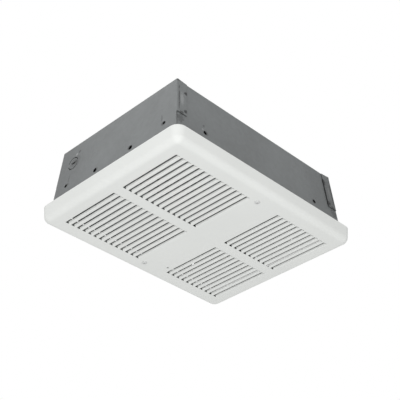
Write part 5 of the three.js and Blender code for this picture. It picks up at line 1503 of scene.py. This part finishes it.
@dataclass(frozen=True)
class HexScrew:
    """A hex washer head screw. Its washer's underside is at its origin and its shank runs up Z."""

    shank: float = 1.7
    root: float = 0.8
    thread_pitch: float = 0.9
    washer: float = 3.9
    washer_height: float = 0.7
    hexagon: float = 3.0
    height: float = 3.2
    length: float = 5.5
    sides: int = 36

    def mesh(self) -> bpy.types.Mesh:
        """The screw's mesh."""
        thread = []
        z = self.length - 1.2
        while z > self.thread_pitch:
            thread += [(self.shank, z), (self.shank * self.root, z - self.thread_pitch / 2)]
            z -= self.thread_pitch
        profile = [(0.05, self.length), (self.shank * 0.45, self.length - 0.4), *thread, (self.shank, 0.2),
                   (self.shank, 0.0), (self.washer - 0.12, 0.0), (self.washer, -0.12),
                   (self.washer, -self.washer_height * 0.6), (self.washer - 0.5, -self.washer_height)]
        rings = [circle(radius, z, self.sides) for radius, z in profile]
        top = -self.height
        for inset, z in ((0.0, -self.washer_height - 0.02), (0.0, top + 0.35), (0.35, top), (0.9, top),
                         (1.1, top + 0.3), (self.hexagon - 0.1, top + 0.35)):
            rings.append([(*self.hex_point(a, inset), z) for a in angles(self.sides)])
        screw = Mould()
        screw.loft(rings)
        return smoothed(screw.mesh("hex_screw"), sharpest=28.0)

    def hex_point(self, angle: float, inset: float) -> tuple[float, float]:
        """A point of the hexagon's outline, which is drawn in and rounded by an inset.

        Args:
            angle: Where the point is, round the axis.
            inset: How far the flats are drawn in.

        Returns:
            The point's X and Y.
        """
        sixth = math.pi / 3
        across = self.hexagon * math.cos(sixth / 2) - inset
        reach = across / math.cos((angle % sixth) - sixth / 2)
        return reach * math.cos(angle), reach * math.sin(angle)


@dataclass(frozen=True)
class Rivet:
    """A domed rivet. Its head's underside is at its origin and its tail runs up Z."""

    shank: float = 1.5
    head: float = 3.0
    head_height: float = 1.1
    tail: float = 2.3
    tail_height: float = 1.0
    grip: float = 2.5
    dome_steps: int = 8
    sides: int = 32

    def mesh(self) -> bpy.types.Mesh:
        """The rivet's mesh."""
        rivet = Mould()
        end = self.grip + self.tail_height
        dome = [(self.head * math.cos(a), -self.head_height * math.sin(a))
                for a in sweep(0.0, math.pi / 2, self.dome_steps)[:-1]]
        rivet.lathe([(0.4, end - 0.5), (0.8, end - 0.1), (self.tail - 0.4, end), (self.tail, end - 0.3),
                     (self.tail, self.grip), (self.shank, self.grip), (self.shank, 0.0), (self.head, 0.0),
                     *dome, (0.7, -self.head_height * 0.97), (0.62, -self.head_height * 0.6)], self.sides)
        return smoothed(rivet.mesh("rivet"), sharpest=40.0)


@dataclass
class Fasteners:
    """Every screw and rivet, each kind placed where the frame has it."""

    taper: Taper

    def row(self, name: str, nodes: Sequence[str], master: bpy.types.Mesh, finish: Finish, aim: Vector,
            seat: Callable[[str], float], turn: float = 0.5) -> None:
        """Places one kind of fastener along Z.

        Args:
            name: The piece's name.
            nodes: The nodes that it stands for.
            master: One fastener.
            finish: What they are made of.
            aim: The way that their shanks point.
            seat: Gives the height of the head's underside, in metres, for a node.
            turn: How far each is spun past the one before it.
        """
        places = [Vector((*middle_of(node)[:2], seat(node))) for node in nodes]
        mesh = placed_copies(master, places, [aim] * len(places), finish, turn)
        add_piece(name, mesh, finish, stands_for=nodes)

    def build(self) -> None:
        """Makes all fasteners."""
        up, down = Vector((0.0, 0.0, 1.0)), Vector((0.0, 0.0, -1.0))
        cross, hexagon, rivet = CrossScrew(), HexScrew(), Rivet()
        head = cross.head_height * METRES
        self.row("grille_screws", ["grille_screw_front", "grille_screw_rear"], cross.mesh(), SCREW_COAT_PAINTED_SHADE, up,
                 lambda node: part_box(node)[0].z + head, 0.7)
        low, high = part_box("motor_screw_front")
        motor = CrossScrew(length=(high.z - low.z) / METRES - cross.head_height)
        self.row("motor_screws", ["motor_screw_front", "motor_screw_rear"], motor.mesh(), BRIGHT, up,
                 lambda node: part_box(node)[0].z + head, 0.9)
        top = hexagon.height * METRES
        for name, nodes, finish in (
            ("divider_screws", numbered("divider_screw", 2), BRIGHT),
            ("support_screws", numbered("support_screw", 4), BRIGHT),
            ("cover_screws", ["cover_screw"], BRIGHT),
            ("ground_screws", ["ground_screw"], GREEN_STEEL),
        ):
            self.row(name, nodes, hexagon.mesh(), finish, down, lambda node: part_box(node)[1].z - top)
        self.row("hanger_rivets", numbered("hanger_rivet", 4), rivet.mesh(), BRIGHT, down,
                 lambda node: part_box(node)[1].z - rivet.head_height * METRES)
        self.deck_screws(hexagon)

    def deck_screws(self, hexagon: HexScrew) -> None:
        """Makes the screws that hold the deck to the leaning side walls, heads inside."""
        nodes = numbered("deck_screw", 4)
        slope = math.atan2(self.taper.side_lean, self.taper.height)
        along = (hexagon.length - hexagon.height) / 2 * METRES
        places, aims = [], []
        for node in nodes:
            middle = middle_of(node)
            side = math.copysign(1.0, middle.y)
            aim = Vector((0.0, side * math.cos(slope), math.sin(slope)))
            places.append(middle - aim * along)
            aims.append(aim)
        mesh = placed_copies(hexagon.mesh(), places, aims, BRIGHT, 0.4)
        add_piece("deck_screws", mesh, BRIGHT, stands_for=nodes)


# ---------------- pieces that keep their CAD shape


@lru_cache
def node_finishes() -> dict[str, Finish]:
    """The finish of each CAD node: its slot's, or darker zinc as painted shade beside the element."""
    by_slot = {finish.slot.value: finish for finish in FINISHES}
    return {part["node"]: INNER_ZINC_PAINTED_SHADE if part["node"] in PAINTED_SHADE_NODES else by_slot[part["material_slot"]]
            for part in frame["record"]["subparts"]}


def dress_nodes() -> None:
    """Gives every CAD node its finish."""
    for name, finish in node_finishes().items():
        node = frame["nodes"][name]
        material = material_of(finish)
        if not node.material_slots:
            node.data.materials.append(material)
        for slot in node.material_slots:
            slot.material = material
        LOG.info("%s: %s", name, material.name)


@dataclass(frozen=True)
class SoftenedNodes:
    """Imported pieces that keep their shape, with their edges rounded and their curves smoothed."""

    edge: float
    nodes: tuple[str, ...]
    body: Body = Body.HOUSING

    def build(self) -> None:
        """Makes the softened copies, each of which stands for its node."""
        for node in self.nodes:
            mesh = tidied(frame["nodes"][node].data.copy())
            add_piece(f"{node}_shape", softened(mesh, self.edge), node_finishes()[node], self.body, [node])


INNER_PIECES = (
    SoftenedNodes(0.2, ("blower_deck", "scroll_wall", "divider", "grille_bracket_front",
                        "grille_bracket_rear", "air_deflector", "element_support_front",
                        "element_support_rear", "motor_hanger", "limit_bracket", "wiring_cover",
                        "bearing_strap_lower", "bearing_strap_upper", "heating_element")),
    SoftenedNodes(0.12, ("motor_core",)),
    SoftenedNodes(0.3, ("element_terminal_near", "element_terminal_far")),
    SoftenedNodes(0.25, ("thermal_limit",)),
    SoftenedNodes(0.4, ("divider_seal", "terminal_block")),
    SoftenedNodes(0.1, ("motor_lead_live", "motor_lead_neutral", "limit_lead", "element_lead")),
    SoftenedNodes(0.15, ("blower_wheel",), Body.FAN),
    SoftenedNodes(0.3, ("motor_shaft",), Body.FAN),
    SoftenedNodes(0.2, ("motor_rotor",), Body.FAN),
    SoftenedNodes(0.3, ("reset_button",), Body.BUTTON),
)


@dataclass
class Winding:
    """The motor's coil: turns of wire laid on a bobbin about the leg of the core."""

    build_x: float = 9.8
    build_z: float = 7.84
    bore_corner: float = 0.4
    wire: float = 0.9
    groove: float = 0.22
    cheek: float = 1.1
    cheek_edge: float = 0.25
    step_in: float = 0.9
    corner: float = 4.5
    corner_steps: int = 6
    low: Vector = field(init=False)
    high: Vector = field(init=False)

    def __post_init__(self) -> None:
        """Takes the coil's box from the frame."""
        low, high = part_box("motor_coil")
        self.low, self.high = low / METRES, high / METRES

    def loop(self, inset_x: float, inset_z: float, corner: float, y: float) -> list[Point]:
        """A round cornered loop in the XZ plane, drawn in from the coil's outside.

        Args:
            inset_x: How far it is drawn in along X.
            inset_z: How far it is drawn in along Z.
            corner: Its corners' radius.
            y: Its place along Y.

        Returns:
            The points of the loop.
        """
        middle = (self.low + self.high) / 2
        half = (self.high - self.low) / 2
        flat = rounded_rectangle(half.x - inset_x, half.z - inset_z, corner, self.corner_steps)
        return [(middle.x + x, y, middle.z + z) for x, z in flat]

    def tube(self, name: str, sections: Sequence[Sequence[tuple[float, float]]], sharpest: float,
             finish: Finish, stands_for: Sequence[str] = ()) -> None:
        """Makes a piece of closed tubes round the leg of the core.

        Args:
            name: The piece's name.
            sections: Each tube's outside, as insets and places along Y.
            sharpest: Edges that turn by more than this many degrees stay sharp.
            finish: What the piece is made of.
            stands_for: The CAD nodes that it replaces.
        """
        mould = Mould()
        for outside in sections:
            rows = [mould.ring(self.loop(inset, inset, self.corner, y)) for inset, y in outside]
            rows += [mould.ring(self.loop(self.build_x, self.build_z, self.bore_corner, y))
                     for y in (outside[-1][1], outside[0][1])]
            for first, second in zip(rows, rows[1:] + rows[:1]):
                mould.skin(first, second)
        add_piece(name, smoothed(mould.mesh(name), sharpest), finish, stands_for=stands_for)

    def build(self) -> None:
        """Makes the turns and the bobbin's cheeks."""
        start, end = self.low.y + self.cheek + 0.05, self.high.y - self.cheek - 0.05
        count = int((end - start) / self.wire)
        pitch = (end - start) / count
        turns = []
        for i in range(count):
            y = start + i * pitch
            turns += [(self.step_in + self.groove, y), (self.step_in + 0.06, y + pitch * 0.22),
                      (self.step_in, y + pitch * 0.5), (self.step_in + 0.06, y + pitch * 0.78)]
        turns.append((self.step_in + self.groove, end))
        self.tube("motor_winding", [turns], 60.0, WINDING, ["motor_coil"])
        edge = self.cheek_edge
        cheeks = [[(edge, y), (0.0, y + edge), (0.0, y + self.cheek - edge), (edge, y + self.cheek)]
                  for y in (self.low.y, self.high.y - self.cheek)]
        self.tube("winding_cheeks", cheeks, 50.0, PHENOLIC)


# ---------------- studio


@dataclass(frozen=True)
class Lamp:
    """A soft rectangular lamp."""

    name: str
    place: Point
    size: float
    power: float
    colour: Colour = (1.0, 1.0, 1.0)

    def build(self) -> None:
        """Hangs the lamp and aims it at the object's middle."""
        data = bpy.data.lights.new(self.name, "AREA")
        data.shape = "SQUARE"
        data.size = self.size
        data.energy = self.power
        data.color = self.colour
        lamp = scene_object(self.name, data)
        lamp.location = self.place
        lamp.rotation_mode = "QUATERNION"
        lamp.rotation_quaternion = Vector(self.place).to_track_quat("Z", "Y")
        lamp.visible_camera = False


@dataclass
class Studio:
    """A plain pale floor, soft light, a white surround and the photograph's camera."""

    floor_z: float = -1.75
    floor_half: float = 6.0
    ambient: float = 0.6
    camera_place: Point = (-910.38, -910.08, -848.04)
    camera_turn: Point = (124.483, -0.069, -45.171)
    lens: float = 90.322
    sensor: float = 36.0
    paper: Colour = (0.8, 0.8, 0.8)
    paper_light: Colour = (0.84, 0.84, 0.84)
    lamps: tuple[Lamp, ...] = (
        Lamp("key", (-1.4, -0.9, -0.1), 0.9, 6.0),
        Lamp("fill", (-0.8, -1.3, -0.2), 0.8, 2.4),
        Lamp("under", (-0.5, -0.4, -1.45), 1.3, 10.0),
        Lamp("top", (-0.8, 0.6, 1.8), 1.6, 10.0),
    )

    def camera(self) -> None:
        """Makes the camera."""
        data = bpy.data.cameras.new("camera")
        data.lens = self.lens
        data.sensor_width = self.sensor
        camera = scene_object("camera", data)
        camera.location = Vector(self.camera_place) * METRES
        camera.rotation_euler = Euler([math.radians(a) for a in self.camera_turn], "XYZ")
        bpy.context.scene.camera = camera

    def floor(self) -> None:
        """Makes the floor, far enough down to leave the views from below free."""
        mould = Mould()
        half, z = self.floor_half / METRES, self.floor_z / METRES
        mould.cap(mould.ring([(-half, -half, z), (half, -half, z), (half, half, z), (-half, half, z)]))
        mesh = mould.mesh("floor")
        material = bpy.data.materials.new("floor_paper")
        material.use_nodes = True
        graph = NodeGraph(material.node_tree)
        shader = material.node_tree.nodes["Principled BSDF"]
        grain = graph.group(grain_group(), scale=3.0, detail=2.0).outputs[0]
        graph.feed(shader.inputs["Base Color"], graph.mix(grain, rgba(self.paper), rgba(self.paper_light)))
        shader.inputs["Roughness"].default_value = 0.9
        mesh.materials.append(material)
        scene_object("floor", mesh)

    def world(self) -> None:
        """Makes the surround: white where it is seen or mirrored, and dimmer as a light."""
        world = bpy.data.worlds.new("surround")
        bpy.context.scene.world = world
        world.use_nodes = True
        graph = NodeGraph(world.node_tree)
        graph.tree.nodes.clear()
        path = graph.add("ShaderNodeLightPath")
        seen = graph.math("MAXIMUM", path.outputs["Is Camera Ray"], path.outputs["Is Glossy Ray"])
        seen = graph.math("MAXIMUM", seen, path.outputs["Is Transmission Ray"])
        strength = graph.remap(seen, 0.0, 1.0, self.ambient, 1.0)
        background = graph.add("ShaderNodeBackground", {"Color": (1.0, 1.0, 1.0, 1.0), "Strength": strength})
        output = graph.add("ShaderNodeOutputWorld")
        graph.tree.links.new(background.outputs[0], output.inputs["Surface"])

    def build(self) -> None:
        """Sets the stage."""
        bpy.context.scene.view_settings.view_transform = "Standard"
        self.camera()
        self.floor()
        self.world()
        for lamp in self.lamps:
            lamp.build()


def main() -> None:
    """Builds the studio and every piece."""
    logging.basicConfig(level=logging.INFO, format="%(name)s: %(message)s")
    Studio().build()
    dress_nodes()
    taper = box_taper()
    BackBox(taper).build()
    for end in End:
        EndWall(taper, end).build()
    Grille(taper).build()
    Fasteners(taper).build()
    for pieces in INNER_PIECES:
        pieces.build()
    Winding().build()


if __name__ == "__main__":
    main()
